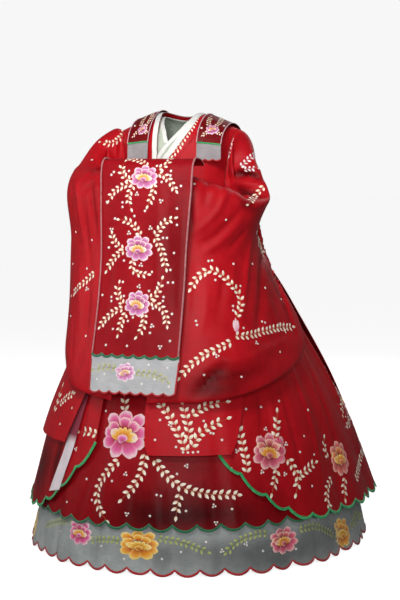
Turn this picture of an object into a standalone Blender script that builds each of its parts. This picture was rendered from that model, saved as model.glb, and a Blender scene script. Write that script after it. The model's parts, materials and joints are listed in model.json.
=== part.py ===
"""Korean bridal hanbok in its worn shape, with no wearer inside.

Units are metres, +Z is up and the front of the garment faces -Y.
The origin is the middle of the shoulders, where the wearer carries it,
and the hem hangs down to the floor at z = -SHOULDER_HEIGHT.
Heights written as "height" are measured up from that floor.
Every cloth piece is a sheet of points through named sections, thickened by a Solidify modifier.
"""

import math

import bpy
from mathutils import Vector

# ---- driving dimensions ------------------------------------------------------------------

SHOULDER_HEIGHT = 1.36
SKIRT_WALL = 0.0015
ROBE_WALL = 0.002
TRIM_WALL = 0.0012
SEAM_GAP = 0.0006
SHOULDER_PARTING = 0.0016
SHOULDER_NUDGE = 4.0

WAISTBAND_TOP = 1.18
WAISTBAND_HEIGHT = 0.075
SKIRT_SCALLOPS = 46
SKIRT_SCALLOP_DEPTH = 0.018
UNDERSKIRT_HEM = 0.004
SKIRT_HEM = 0.140
OVERSKIRT_HEM = 0.143
OVERSKIRT_RISE = 0.227
OVERSKIRT_CORNER = 32.0
OVERSKIRT_FIRST_COLUMN = 4
OVERSKIRT_COLUMNS = 40

CHEST_HEIGHT = 1.27
SHOULDER_ARC = 0.13
SHOULDER_SEAM = CHEST_HEIGHT + SHOULDER_ARC
SEAM_Y = 0.005
NECK_HALF_WIDTH = 0.0633
NECK_SHIFT = 0.0087
NECK_HEIGHT = 1.388
SHOULDER_SLOPE = 0.42
SHOULDER_SPREAD = 1.09
BACK_NECK_DIP = 0.31
ARMHOLE_BOTTOM = 0.95
JACKET_ARMHOLE_BOTTOM = 1.165

TIE_WIDTH = 0.050

# ---- tables: one row for each section ----------------------------------------------------

# The body and skirt form: reach from the central axis to the side, the front and the back.
FORM = (
    {"height": 0.00, "side": 0.556, "front": 0.438, "back": 0.812},
    {"height": 0.17, "side": 0.511, "front": 0.425, "back": 0.790},
    {"height": 0.40, "side": 0.449, "front": 0.385, "back": 0.690},
    {"height": 0.63, "side": 0.370, "front": 0.330, "back": 0.547},
    {"height": 0.80, "side": 0.298, "front": 0.265, "back": 0.398},
    {"height": 0.92, "side": 0.236, "front": 0.205, "back": 0.290},
    {"height": 1.00, "side": 0.190, "front": 0.168, "back": 0.180},
    {"height": 1.10, "side": 0.160, "front": 0.134, "back": 0.124},
    {"height": 1.18, "side": 0.156, "front": 0.118, "back": 0.112},
    {"height": 1.27, "side": 0.168, "front": 0.108, "back": 0.112},
)

# Soft vertical folds of the skirts: where round the body, how wide, how proud, from what height.
SKIRT_FOLDS = (
    {"angle": -165, "width": 15, "depth": 0.022, "top": 1.00},
    {"angle": -133, "width": 11, "depth": 0.016, "top": 0.90},
    {"angle": -104, "width": 13, "depth": 0.020, "top": 0.95},
    {"angle": -73, "width": 11, "depth": 0.020, "top": 0.80},
    {"angle": -52, "width": 10, "depth": 0.013, "top": 0.75},
    {"angle": -27, "width": 9, "depth": 0.010, "top": 0.55},
    {"angle": -3, "width": 10, "depth": 0.008, "top": 0.45},
    {"angle": 20, "width": 9, "depth": 0.010, "top": 0.60},
    {"angle": 43, "width": 10, "depth": 0.014, "top": 0.85},
    {"angle": 67, "width": 9, "depth": 0.017, "top": 0.95},
    {"angle": 90, "width": 10, "depth": 0.018, "top": 1.00},
    {"angle": 114, "width": 15, "depth": 0.042, "top": 1.00},
    {"angle": 142, "width": 10, "depth": 0.015, "top": 0.90},
    {"angle": 170, "width": 13, "depth": 0.021, "top": 1.00},
)

# Where the sleeves press the skirts in: place, spread and depth.
SLEEVE_PRESSES = (
    {"angle": -68, "width": 40, "height": 0.64, "rise": 0.15, "depth": 0.018},
    {"angle": 78, "width": 32, "height": 0.70, "rise": 0.14, "depth": 0.016},
)

# The jacket's stand-off from the form, up on the chest and down over the waistband.
JACKET_GAPS = {
    "left": {"chest": 0.0112, "band": 0.0130},
    "right": {"chest": 0.0055, "band": 0.0092},
    "back": {"chest": 0.0072, "band": 0.0118},
}

# Edges of the robe's and jacket's panels in degrees round the body, from hem to shoulder seam.
ROBE_LEFT_FRONT = (
    {"level": 0.366, "inner": 7.5, "outer": 36.2},
    {"level": 0.40, "inner": 6.0, "outer": 38.5},
    {"level": 0.63, "inner": 5.0, "outer": 48.0},
    {"level": 0.80, "inner": 3.5, "outer": 58.0},
    {"level": 0.95, "inner": 1.0, "outer": 74.0},
    {"level": 1.12, "inner": -3.5, "outer": 74.0},
    {"level": 1.20, "inner": -5.0, "outer": 74.0},
    {"level": 1.25, "inner": -0.6, "outer": 74.0},
    {"level": 1.294, "inner": 11.3, "outer": 74.0},
    {"level": 1.324, "inner": 17.5, "outer": 74.0},
    {"level": 1.36, "inner": 19.8, "outer": 74.0},
    {"level": 1.40, "inner": 21.3, "outer": 74.0},
)
ROBE_RIGHT_FRONT = (
    {"level": 0.373, "inner": -31.0, "outer": -61.0},
    {"level": 0.53, "inner": -25.0, "outer": -61.0},
    {"level": 0.63, "inner": -21.0, "outer": -62.0},
    {"level": 0.80, "inner": -14.0, "outer": -66.0},
    {"level": 0.95, "inner": -11.0, "outer": -74.0},
    {"level": 1.12, "inner": -10.0, "outer": -74.0},
    {"level": 1.20, "inner": -9.5, "outer": -74.0},
    {"level": 1.27, "inner": -8.5, "outer": -74.0},
    {"level": 1.33, "inner": -10.0, "outer": -74.0},
    {"level": 1.36, "inner": -12.0, "outer": -74.0},
    {"level": 1.40, "inner": -16.0, "outer": -74.0},
)
ROBE_BACK = (
    {"level": 0.30, "inner": 126.0, "outer": 234.0},
    {"level": 0.63, "inner": 119.0, "outer": 241.0},
    {"level": 0.80, "inner": 113.0, "outer": 247.0},
    {"level": 0.95, "inner": 106.0, "outer": 254.0},
    {"level": 1.40, "inner": 106.0, "outer": 254.0},
)
JACKET_LEFT_FRONT = (
    {"level": 1.135, "inner": -22.0, "outer": 77.0},
    {"level": 1.20, "inner": -18.0, "outer": 77.0},
    {"level": 1.27, "inner": -6.0, "outer": 77.0},
    {"level": 1.296, "inner": 3.6, "outer": 77.0},
    {"level": 1.324, "inner": 12.1, "outer": 77.0},
    {"level": 1.36, "inner": 17.6, "outer": 77.0},
    {"level": 1.40, "inner": 19.7, "outer": 77.0},
)
JACKET_RIGHT_FRONT = (
    {"level": 1.135, "inner": 20.0, "outer": -77.0},
    {"level": 1.20, "inner": 14.0, "outer": -77.0},
    {"level": 1.27, "inner": 6.0, "outer": -77.0},
    {"level": 1.296, "inner": 0.8, "outer": -77.0},
    {"level": 1.324, "inner": -3.7, "outer": -77.0},
    {"level": 1.355, "inner": -9.7, "outer": -77.0},
    {"level": 1.40, "inner": -14.4, "outer": -77.0},
)
JACKET_BACK = (
    {"level": 1.135, "inner": 103.0, "outer": 257.0},
    {"level": 1.40, "inner": 103.0, "outer": 257.0},
)

# The white tie's place round the body as it hangs over the overskirt.
TIE_ROUTE = (
    {"height": 0.218, "angle": -33.8},
    {"height": 0.373, "angle": -29.0},
    {"height": 0.53, "angle": -27.6},
    {"height": 0.80, "angle": -21.0},
    {"height": 1.128, "angle": -14.0},
)
TIE_LIFT = 0.0057

# Sleeve sections from the shoulder to the cuff. Each hangs from a ridge over the arm through
# an upper and a lower point to the bottom fold. "facing" turns from back (180) to front (0);
# "arm" and "drape" are half the sleeve's thickness round the arm and below it.
LEFT_SLEEVE = (
    {"ridge": (0.214, 0.004, 1.328), "upper": (0.238, 0.020, 1.040),
     "lower": (0.272, 0.045, 0.900), "fold": (0.322, 0.070, 0.800),
     "facing": 158, "arm": 0.050, "drape": 0.022},
    {"ridge": (0.238, -0.012, 1.256), "upper": (0.244, 0.026, 0.990),
     "lower": (0.308, 0.052, 0.855), "fold": (0.378, 0.085, 0.700),
     "facing": 124, "arm": 0.044, "drape": 0.015},
    {"ridge": (0.300, -0.055, 1.138), "upper": (0.270, -0.030, 0.960),
     "lower": (0.322, -0.012, 0.830), "fold": (0.405, 0.030, 0.645),
     "facing": 90, "arm": 0.044, "drape": 0.014},
    {"ridge": (0.262, -0.134, 1.143), "upper": (0.264, -0.138, 0.940),
     "lower": (0.304, -0.130, 0.810), "fold": (0.398, -0.090, 0.595),
     "facing": 66, "arm": 0.046, "drape": 0.016},
    {"ridge": (0.176, -0.204, 1.178), "upper": (0.215, -0.228, 0.930),
     "lower": (0.262, -0.240, 0.790), "fold": (0.348, -0.248, 0.555),
     "facing": 42, "arm": 0.048, "drape": 0.018},
    {"ridge": (0.088, -0.246, 1.215), "upper": (0.118, -0.285, 0.930),
     "lower": (0.165, -0.310, 0.790), "fold": (0.245, -0.352, 0.530),
     "facing": 24, "arm": 0.042, "drape": 0.014},
    {"ridge": (0.012, -0.262, 1.232), "upper": (0.018, -0.300, 0.930),
     "lower": (0.030, -0.332, 0.790), "fold": (0.060, -0.408, 0.522),
     "facing": 6, "arm": 0.034, "drape": 0.011},
)
RIGHT_SLEEVE = (
    {"ridge": (-0.226, 0.000, 1.348), "upper": (-0.250, 0.020, 1.060),
     "lower": (-0.285, 0.045, 0.910), "fold": (-0.325, 0.075, 0.820),
     "facing": 158, "arm": 0.048, "drape": 0.022},
    {"ridge": (-0.264, -0.020, 1.318), "upper": (-0.312, 0.015, 1.030),
     "lower": (-0.335, 0.045, 0.870), "fold": (-0.362, 0.080, 0.730),
     "facing": 122, "arm": 0.046, "drape": 0.018},
    {"ridge": (-0.266, -0.070, 1.262), "upper": (-0.330, -0.045, 1.000),
     "lower": (-0.345, -0.020, 0.850), "fold": (-0.368, 0.015, 0.685),
     "facing": 88, "arm": 0.044, "drape": 0.017},
    {"ridge": (-0.252, -0.145, 1.220), "upper": (-0.302, -0.145, 0.970),
     "lower": (-0.314, -0.132, 0.820), "fold": (-0.340, -0.105, 0.655),
     "facing": 64, "arm": 0.046, "drape": 0.014},
    {"ridge": (-0.180, -0.206, 1.212), "upper": (-0.226, -0.232, 0.950),
     "lower": (-0.250, -0.248, 0.800), "fold": (-0.276, -0.262, 0.605),
     "facing": 42, "arm": 0.046, "drape": 0.012},
    {"ridge": (-0.092, -0.246, 1.224), "upper": (-0.122, -0.286, 0.930),
     "lower": (-0.155, -0.312, 0.790), "fold": (-0.210, -0.354, 0.550),
     "facing": 24, "arm": 0.042, "drape": 0.012},
    {"ridge": (-0.012, -0.262, 1.232), "upper": (-0.018, -0.300, 0.930),
     "lower": (-0.030, -0.332, 0.790), "fold": (-0.060, -0.408, 0.522),
     "facing": 6, "arm": 0.034, "drape": 0.011},
)
SECTION_STOPS = {"ridge": 0.0, "upper": 0.44, "lower": 0.67, "fold": 1.0}
SLEEVE_STEPS = (0.0, 0.03, 0.09, 0.20, 0.38, 0.60, 0.82, 0.95, 1.0)
SLEEVE_RINGS = 8
ARM_RINGS = 7
ARM_STEPS = (0.0, 0.18, 0.50, 0.82, 1.0)
ARM_DROP = 0.020
# The jacket sleeves from shoulder to wrist: radius, and how far they tuck in from the robe's.
ARM_SECTIONS = (
    {"radius": 0.018, "tuck": 0.012},
    {"radius": 0.020, "tuck": 0.009},
    {"radius": 0.024, "tuck": 0.002},
    {"radius": 0.025, "tuck": 0.0},
    {"radius": 0.025, "tuck": 0.0},
    {"radius": 0.025, "tuck": 0.0},
)

# The front cloth's fall: over the wrists from its plain back end, then down the front.
CLOTH_FALL = (
    {"y": -0.204, "height": 1.226, "half": 0.151},
    {"y": -0.222, "height": 1.239, "half": 0.152},
    {"y": -0.245, "height": 1.247, "half": 0.152},
    {"y": -0.268, "height": 1.249, "half": 0.152},
    {"y": -0.294, "height": 1.233, "half": 0.152},
    {"y": -0.312, "height": 1.180, "half": 0.151},
    {"y": -0.324, "height": 1.090, "half": 0.147},
    {"y": -0.338, "height": 0.940, "half": 0.141},
    {"y": -0.355, "height": 0.840, "half": 0.141},
    {"y": -0.380, "height": 0.740, "half": 0.142},
    {"y": -0.404, "height": 0.655, "half": 0.143},
    {"y": -0.431, "height": 0.547, "half": 0.139},
)
CLOTH_CENTRE = 0.012
CLOTH_CROWN = 0.60
CLOTH_SCALLOPS = 8
CLOTH_SCALLOP_DEPTH = 0.008
CLOTH_TURN = 10
CLOTH_OVERLAP = 0.014
PIPING_WIDTH = 0.005

# The shoulder ribbons: middle and half width across the body at each level, front then back.
LEFT_RIBBON = {"middle": 0.141, "front": 1.243, "back": 1.18}
RIGHT_RIBBON = {"middle": -0.096, "front": 1.243, "back": 1.18}
RIBBON_HALF_WIDTH = 0.039
RIBBON_FLAT_FROM = 0.118
RIBBON_SCALLOPS = 3
RIBBON_SCALLOP_DEPTH = 0.005
RIBBON_END = 0.048

COLLAR_WIDTH = 0.036
COLLAR_LIFT = 0.0028
NAPE_LIFT = 0.0012
COLLAR_STRIP_WIDTH = 0.017

MATERIALS = {
    "red_silk": {"color": (0.62, 0.012, 0.022, 1.0), "roughness": 0.45},
    "red_organza": {"color": (0.50, 0.010, 0.020, 1.0), "roughness": 0.50},
    "grey_organza": {"color": (0.42, 0.45, 0.46, 1.0), "roughness": 0.55},
    "white_silk": {"color": (0.84, 0.84, 0.82, 1.0), "roughness": 0.50},
    "jade_silk": {"color": (0.40, 0.46, 0.40, 1.0), "roughness": 0.50},
    "rose_piping": {"color": (0.42, 0.15, 0.15, 1.0), "roughness": 0.50},
}


# ---- reading the tables ------------------------------------------------------------------


def eased(rows, key, column, at):
    """A column's value at a key, on a smooth curve through the rows, which rise with the key."""
    if at <= rows[0][key]:
        return rows[0][column]
    if at >= rows[-1][key]:
        return rows[-1][column]
    low = max(i for i in range(len(rows) - 1) if rows[i][key] <= at)
    spans = [rows[i + 1][key] - rows[i][key] for i in range(len(rows) - 1)]
    rises = [(rows[i + 1][column] - rows[i][column]) / spans[i] for i in range(len(spans))]

    def slope(i):
        if i in (0, len(rows) - 1):
            return rises[min(i, len(rises) - 1)]
        if rises[i - 1] * rises[i] <= 0:
            return 0.0
        return 2 * rises[i - 1] * rises[i] / (rises[i - 1] + rises[i])

    span = spans[low]
    t = (at - rows[low][key]) / span
    start, end = rows[low][column], rows[low + 1][column]
    return (
        start * (1 + 2 * t) * (1 - t) ** 2
        + end * t * t * (3 - 2 * t)
        + slope(low) * span * t * (1 - t) ** 2
        - slope(low + 1) * span * t * t * (1 - t)
    )


def lerp(a, b, t):
    return a + (b - a) * t


def clamp(value):
    return min(1.0, max(0.0, value))


def spread(count):
    """count + 1 even steps from 0 to 1."""
    return [i / count for i in range(count + 1)]


# ---- the form under the cloth ------------------------------------------------------------


def fold_depth(angle, height):
    """How far the skirts' soft folds stand proud at this place."""
    total = 0.0
    for fold in SKIRT_FOLDS:
        away = (angle - fold["angle"] + 180) % 360 - 180
        share = clamp((fold["top"] - height) / fold["top"])
        total += fold["depth"] * share**1.3 * math.exp(-((away / fold["width"]) ** 2))
    return total


def press_depth(angle, height):
    """How far the sleeves push the skirts in at this place."""
    total = 0.0
    for press in SLEEVE_PRESSES:
        away = (angle - press["angle"] + 180) % 360 - 180
        rise = (height - press["height"]) / press["rise"]
        total += press["depth"] * math.exp(-((away / press["width"]) ** 2) - rise**2)
    return total


def form_point(angle, height, stand_off):
    """A point round the body form at this height, moved outwards by stand_off."""
    side = eased(FORM, "height", "side", height) + stand_off
    front = eased(FORM, "height", "front", height) + stand_off
    back = eased(FORM, "height", "back", height) + stand_off
    turn = math.radians(angle)
    proud = fold_depth(angle, height) - press_depth(angle, height)
    middle = (back - front) / 2
    depth = (front + back) / 2 + proud
    return Vector(((side + proud) * math.sin(turn), middle - depth * math.cos(turn), height))


def lowness(height):
    """0 at the waistband, 1 at the floor."""
    return clamp((WAISTBAND_TOP - height) / WAISTBAND_TOP)


def backness(angle):
    """0 at the front of the body, 1 at the back."""
    return (1 - math.cos(math.radians(angle))) / 2


def underskirt_gap(angle, height):
    """The underskirt lies inside the skirt and hangs straighter than it at the back."""
    hang = 0.100 * backness(angle) ** 3 * clamp((0.45 - height) / 0.45)
    return -(0.0023 + 0.012 * lowness(height)) - hang


def overskirt_gap(angle, height):
    return 0.0023 + (0.012 + 0.030 * backness(angle)) * lowness(height)


def robe_gap(angle, height):
    return overskirt_gap(angle, height) + 0.0158 + 0.002 * lowness(height)


def shoulder_height(x):
    """Height of the shoulder line, which slopes down outside the neck."""
    return NECK_HEIGHT - SHOULDER_SLOPE * math.sqrt(max(0.0, abs(x) - 0.05) ** 2 + 0.0009)


def jacket_gap(panel, level):
    gaps = JACKET_GAPS[panel]
    return lerp(gaps["chest"], gaps["band"], clamp((1.25 - level) / 0.06))


def over_shoulder(angle, level, stand_off):
    """A point of the upper body. Above chest height, level runs over the shoulder to its seam."""
    if level <= CHEST_HEIGHT:
        return form_point(angle, level, stand_off)
    low = form_point(angle, CHEST_HEIGHT, stand_off)
    climb = math.radians(90 * (level - CHEST_HEIGHT) / SHOULDER_ARC)
    x = low.x * lerp(1, SHOULDER_SPREAD, math.sin(climb))
    seam_height = shoulder_height(x) + stand_off
    return Vector((
        x,
        lerp(low.y, SEAM_Y, 1 - math.cos(climb)),
        lerp(CHEST_HEIGHT, seam_height, math.sin(climb)),
    ))


# ---- making a cloth object ---------------------------------------------------------------


def material(name):
    made = bpy.data.materials.get(name)
    if made is None:
        made = bpy.data.materials.new(name)
        made.use_nodes = True
        shader = made.node_tree.nodes["Principled BSDF"]
        shader.inputs["Base Color"].default_value = MATERIALS[name]["color"]
        shader.inputs["Roughness"].default_value = MATERIALS[name]["roughness"]
        shader.inputs["Metallic"].default_value = 0.0
    return made


def strip_faces(upper, lower, ring):
    """Faces between two rows of point numbers; the lower row may have several points to each one above."""
    if ring:
        upper, lower = upper + upper[:1], lower + lower[:1]
    cells = len(upper) - 1
    per_cell = (len(lower) - 1) // cells
    faces = []
    for i in range(cells):
        below = lower[i * per_cell : (i + 1) * per_cell + 1]
        if per_cell == 1:
            faces.append((upper[i], upper[i + 1], below[1], below[0]))
            continue
        turn = (per_cell + 1) // 2
        for k in range(per_cell):
            top = upper[i] if k < turn else upper[i + 1]
            faces.append((top, below[k + 1], below[k]))
        faces.append((upper[i], upper[i + 1], below[turn]))
    return faces


def cloth(name, rows, wall, finish, inside, ring=False):
    """One cloth piece from rows of points, top to bottom, thickened inwards.

    inside gives, for each row, a point on the wearer's side of that row.
    """
    hang = sum(rows[0], Vector()) / len(rows[0])
    points, numbers = [], []
    for row in rows:
        numbers.append(list(range(len(points), len(points) + len(row))))
        points += row
    faces = []
    outwards = 0.0
    for j in range(len(rows) - 1):
        for face in strip_faces(numbers[j], numbers[j + 1], ring):
            a, b, c = (points[k] for k in face[:3])
            outwards += (b - a).cross(c - a).dot(a - inside(j))
            faces.append(face)
    if outwards < 0:
        faces = [face[::-1] for face in faces]
    mesh = bpy.data.meshes.new(name)
    mesh.from_pydata([tuple(p - hang) for p in points], [], faces)
    mesh.shade_smooth()
    mesh.materials.append(material(finish))
    piece = bpy.data.objects.new(name, mesh)
    bpy.context.scene.collection.objects.link(piece)
    piece.parent = bpy.data.objects["wearer_shoulders"]
    piece.location = hang - Vector((0, 0, SHOULDER_HEIGHT))
    thicken = piece.modifiers.new("wall", "SOLIDIFY")
    thicken.thickness = wall
    thicken.offset = -1
    thicken.use_even_offset = False
    return piece


def axis_inside(rows):
    """Inside points on the body's central line, one for each row."""
    heights = [sum(p.z for p in row) / len(row) for row in rows]
    return lambda j: Vector((0, (eased(FORM, "height", "back", heights[j])
                                 - eased(FORM, "height", "front", heights[j])) / 2, heights[j]))


def scallop(share, depth):
    """How far a scalloped edge hangs down, where share runs from 0 to 1 along one lobe."""
    return depth * math.sin(math.pi * share) ** 0.8


# ---- skirts ------------------------------------------------------------------------------

SKIRT_STEP = 360 / SKIRT_SCALLOPS
SKIRT_ROWS = (WAISTBAND_TOP, WAISTBAND_TOP - WAISTBAND_HEIGHT, 1.00, 0.84, 0.62)


def skirt_rows(heights, gap, hem):
    """Rings of a whole skirt. Its hem ring has three points to each scallop."""
    rows = [
        [form_point(i * SKIRT_STEP, height, gap(i * SKIRT_STEP, height)) for i in range(SKIRT_SCALLOPS)]
        for height in heights
    ]
    last = []
    for i in range(3 * SKIRT_SCALLOPS):
        angle = i * SKIRT_STEP / 3
        height = hem + SKIRT_SCALLOP_DEPTH - scallop(i % 3 / 3, SKIRT_SCALLOP_DEPTH)
        last.append(form_point(angle, height, gap(angle, height)))
    return rows + [last]


def make_underskirt():
    rows = skirt_rows(SKIRT_ROWS + (0.32,), underskirt_gap, UNDERSKIRT_HEM)
    cloth("underskirt", rows, SKIRT_WALL, "grey_organza", axis_inside(rows), ring=True)


def make_skirt():
    rows = skirt_rows(SKIRT_ROWS + (0.36,), lambda angle, height: 0.0, SKIRT_HEM)
    cloth("skirt", rows, SKIRT_WALL, "red_silk", axis_inside(rows), ring=True)


def overskirt_hem(along):
    """Height of the overskirt's lower edge at a column, curving up to its two front corners."""
    corner = clamp(1 - min(along, OVERSKIRT_COLUMNS - along) * SKIRT_STEP / OVERSKIRT_CORNER)
    return OVERSKIRT_HEM + OVERSKIRT_RISE * corner**1.6


def make_overskirt():
    """The open outer layer, from its left front edge round the back to its right front edge."""

    def point(along, height):
        angle = (OVERSKIRT_FIRST_COLUMN + along) * SKIRT_STEP
        return form_point(angle, height, overskirt_gap(angle, height))

    columns = range(OVERSKIRT_COLUMNS + 1)
    rows = [[point(i, height) for i in columns] for height in SKIRT_ROWS]
    rows.append([point(i, lerp(SKIRT_ROWS[-1], overskirt_hem(i), 0.55)) for i in columns])
    rows.append([
        point(i / 3, overskirt_hem(i / 3) + SKIRT_SCALLOP_DEPTH - scallop(i % 3 / 3, SKIRT_SCALLOP_DEPTH))
        for i in range(3 * OVERSKIRT_COLUMNS + 1)
    ])
    cloth("overskirt", rows, SKIRT_WALL, "red_organza", axis_inside(rows))


def make_waistband():
    """The chest band that the three skirts hang from, wrapped round their top edges."""
    rows = [
        [
            form_point(i * SKIRT_STEP, h, overskirt_gap(i * SKIRT_STEP, h) + TRIM_WALL + SEAM_GAP)
            for i in range(SKIRT_SCALLOPS)
        ]
        for h in (WAISTBAND_TOP + 0.004, WAISTBAND_TOP - WAISTBAND_HEIGHT)
    ]
    cloth("waistband", rows, TRIM_WALL, "white_silk", axis_inside(rows), ring=True)


def make_tie():
    """The white tie that hangs from the waistband over the overskirt."""
    rows = []
    for t in spread(10):
        height = lerp(TIE_ROUTE[-1]["height"], TIE_ROUTE[0]["height"], t)
        angle = eased(TIE_ROUTE, "height", "angle", height)
        half = math.degrees(TIE_WIDTH / 2 / eased(FORM, "height", "side", height))
        lift = lerp(2 * (TRIM_WALL + SEAM_GAP) + 0.0010, TIE_LIFT, clamp(t * 5))
        rows.append([
            form_point(angle + side * half, height + 0.006 * side * t, overskirt_gap(angle, height) + lift)
            for side in (-1, 0, 1)
        ])
    cloth("white_tie", rows, TRIM_WALL, "white_silk", axis_inside(rows))


# ---- robe and jacket bodies --------------------------------------------------------------

FRONT_LEVELS = (1.40, 1.37, 1.335, 1.30, 1.25, 1.19, 1.10, 1.02, 0.95, 0.84, 0.70, 0.53)
BACK_LEVELS = (1.40, 1.37, 1.33, 1.27, 1.18, 1.08, 0.95, 0.84, 0.65, 0.47, 0.30)
JACKET_FRONT_LEVELS = (1.40, 1.37, 1.335, 1.30, 1.25, 1.19, 1.135)
JACKET_BACK_LEVELS = (1.40, 1.37, 1.33, 1.27, 1.19, 1.135)


def panel_rows(edges, levels, columns, gap, top_of=None):
    """Rows of a panel between its two edges. top_of gives the level of its upper edge."""
    rows = []
    for level in levels:
        row = []
        for t in spread(columns):
            angle = lerp(eased(edges, "level", "inner", level), eased(edges, "level", "outer", level), t)
            here = level
            if top_of is not None and level > CHEST_HEIGHT:
                share = (level - CHEST_HEIGHT) / SHOULDER_ARC
                here = CHEST_HEIGHT + share * (top_of(angle) - CHEST_HEIGHT)
            row.append(over_shoulder(angle, here, gap(angle, min(here, CHEST_HEIGHT))))
        rows.append(row)
    return rows


def back_top(angle):
    """Level of a back's upper edge: the shoulder seam, dipping at the nape."""
    across = (over_shoulder(angle, SHOULDER_SEAM, 0.010).x - NECK_SHIFT) / NECK_HALF_WIDTH
    return SHOULDER_SEAM - BACK_NECK_DIP * SHOULDER_ARC * math.sqrt(max(0.0, 1 - across * across))


def parted(rows):
    """The rows with the first moved back by the width of the shoulder seam."""
    return [[p + Vector((0, SHOULDER_PARTING, 0)) for p in rows[0]]] + rows[1:]


def make_robe_body():
    for side, edges in (("left", ROBE_LEFT_FRONT), ("right", ROBE_RIGHT_FRONT)):
        rows = panel_rows(edges, FRONT_LEVELS + (edges[0]["level"],), 6, robe_gap)
        cloth(f"robe_{side}_front", rows, ROBE_WALL, "red_silk", axis_inside(rows))
    rows = parted(panel_rows(ROBE_BACK, BACK_LEVELS, 12, robe_gap, back_top))
    cloth("robe_back", rows, ROBE_WALL, "red_silk", axis_inside(rows))


def make_jacket_body():
    for side, edges in (("left", JACKET_LEFT_FRONT), ("right", JACKET_RIGHT_FRONT)):
        rows = panel_rows(edges, JACKET_FRONT_LEVELS, 6, lambda angle, level: jacket_gap(side, level))
        cloth(f"jacket_{side}_front", rows, TRIM_WALL, "jade_silk", axis_inside(rows))
    rows = parted(panel_rows(
        JACKET_BACK, JACKET_BACK_LEVELS, 12, lambda angle, level: jacket_gap("back", level), back_top
    ))
    cloth("jacket_back", rows, TRIM_WALL, "jade_silk", axis_inside(rows))


# ---- collars -----------------------------------------------------------------------------


def across_front(angle, level, stand_off, distance):
    """The angle reached by going round the front from this angle for a distance."""
    step = 1.0 if distance > 0 else -1.0
    here = over_shoulder(angle, level, stand_off)
    gone = 0.0
    while gone < abs(distance):
        angle += step
        after = over_shoulder(angle, level, stand_off)
        gone += (after - here).length
        here = after
    last_step = (over_shoulder(angle + step, level, stand_off) - here).length
    return angle - step * (gone - abs(distance)) / max(1e-6, last_step)


def collar_rows(left_edges, right_edges, levels, stand_off, shifts, lean):
    """A collar from the right front up, round the nape and down the left front.

    shifts are its distances out from the neckline, one for each point of a row;
    lean is how much wider it measures across the slanting front edges.
    """
    rows = []
    for side, edges in ((-1, right_edges), (1, left_edges)):
        half = []
        for level in levels:
            inner = eased(edges, "level", "inner", level)
            wider = lerp(lean[side], 1.0, clamp((level - 1.33) / 0.06))
            off = stand_off[side](inner, level)
            half.append([
                over_shoulder(across_front(inner, level, off, side * shift * wider), level, off)
                for shift in shifts
            ])
        rows.append(half)
    nape = []
    drop_rate = (over_shoulder(180, 1.385, 0.01) - over_shoulder(180, 1.375, 0.01)).length / 0.010
    for turn in range(160, 0, -20):
        phi = math.radians(turn)
        row = []
        for shift in shifts:
            x = NECK_SHIFT + (NECK_HALF_WIDTH + shift) * math.cos(phi)
            level = SHOULDER_SEAM - (BACK_NECK_DIP * SHOULDER_ARC + shift / drop_rate) * math.sin(phi)
            row.append(on_back(x, level, stand_off[1](180, level) + NAPE_LIFT))
        nape.append(row)
    return rows[0] + nape + rows[1][::-1]


def on_back(x, level, stand_off):
    """The point of the back's surface at this distance across and this level."""
    reach = abs(over_shoulder(90, level, stand_off).x)
    return over_shoulder(180 - math.degrees(math.asin(max(-1, min(1, x / reach)))), level, stand_off)


def make_collars():
    robe_levels = FRONT_LEVELS[5::-1]
    base = {side: (lambda angle, level: robe_gap(angle, min(level, CHEST_HEIGHT)) + COLLAR_LIFT)
            for side in (-1, 1)}
    rows = collar_rows(ROBE_LEFT_FRONT, ROBE_RIGHT_FRONT, robe_levels, base,
                       (-0.001, COLLAR_WIDTH / 2, COLLAR_WIDTH), {-1: 1.0, 1: 1.22})
    cloth("robe_collar", rows, TRIM_WALL, "red_silk", axis_inside(rows))
    top = {side: (lambda angle, level: base[1](angle, level) + COLLAR_LIFT) for side in (-1, 1)}
    rows = collar_rows(ROBE_LEFT_FRONT, ROBE_RIGHT_FRONT, robe_levels, top,
                       (-0.003, COLLAR_STRIP_WIDTH - 0.003), {-1: 1.0, 1: 1.22})
    cloth("robe_collar_strip", rows, TRIM_WALL, "white_silk", axis_inside(rows))
    lift = TRIM_WALL + 2 * SEAM_GAP
    for side, name, edges, levels in (
        (1, "left", JACKET_LEFT_FRONT, JACKET_FRONT_LEVELS[:5] + (1.215,)),
        (-1, "right", JACKET_RIGHT_FRONT, JACKET_FRONT_LEVELS[:3] + (1.31, 1.292)),
    ):
        rows = []
        for level in levels:
            inner = eased(edges, "level", "inner", level)
            off = jacket_gap(name, level) + lift
            rows.append([
                over_shoulder(across_front(inner, level, off, side * shift * 1.25), level, off)
                for shift in (-0.001, 0.012)
            ])
        cloth(f"jacket_{name}_collar", rows, TRIM_WALL, "white_silk", axis_inside(rows))
    nape = []
    for turn in range(180, -1, -20):
        phi = math.radians(turn)
        nape.append([
            on_back(NECK_SHIFT + (NECK_HALF_WIDTH + shift) * math.cos(phi),
                    SHOULDER_SEAM - (BACK_NECK_DIP * SHOULDER_ARC + shift) * math.sin(phi),
                    jacket_gap("back", SHOULDER_SEAM) + lift)
            + Vector((0, SHOULDER_PARTING, 0))
            for shift in (-0.001, 0.012)
        ])
    cloth("jacket_back_collar", nape, TRIM_WALL, "white_silk", axis_inside(nape))


# ---- sleeves -----------------------------------------------------------------------------


def sheet_half(step, section):
    """Half the sleeve's thickness at a step down its section, round the arm then closing to a fold."""
    if step < 0.09:
        return section["arm"] * math.sqrt(1 - (1 - step / 0.09) ** 2)
    if step > 0.88:
        return section["drape"] * math.sqrt(max(0.0, 1 - ((step - 0.88) / 0.12) ** 2))
    slack = clamp((step - 0.12) / 0.30)
    return lerp(section["arm"], section["drape"], slack * slack * (3 - 2 * slack))


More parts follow.
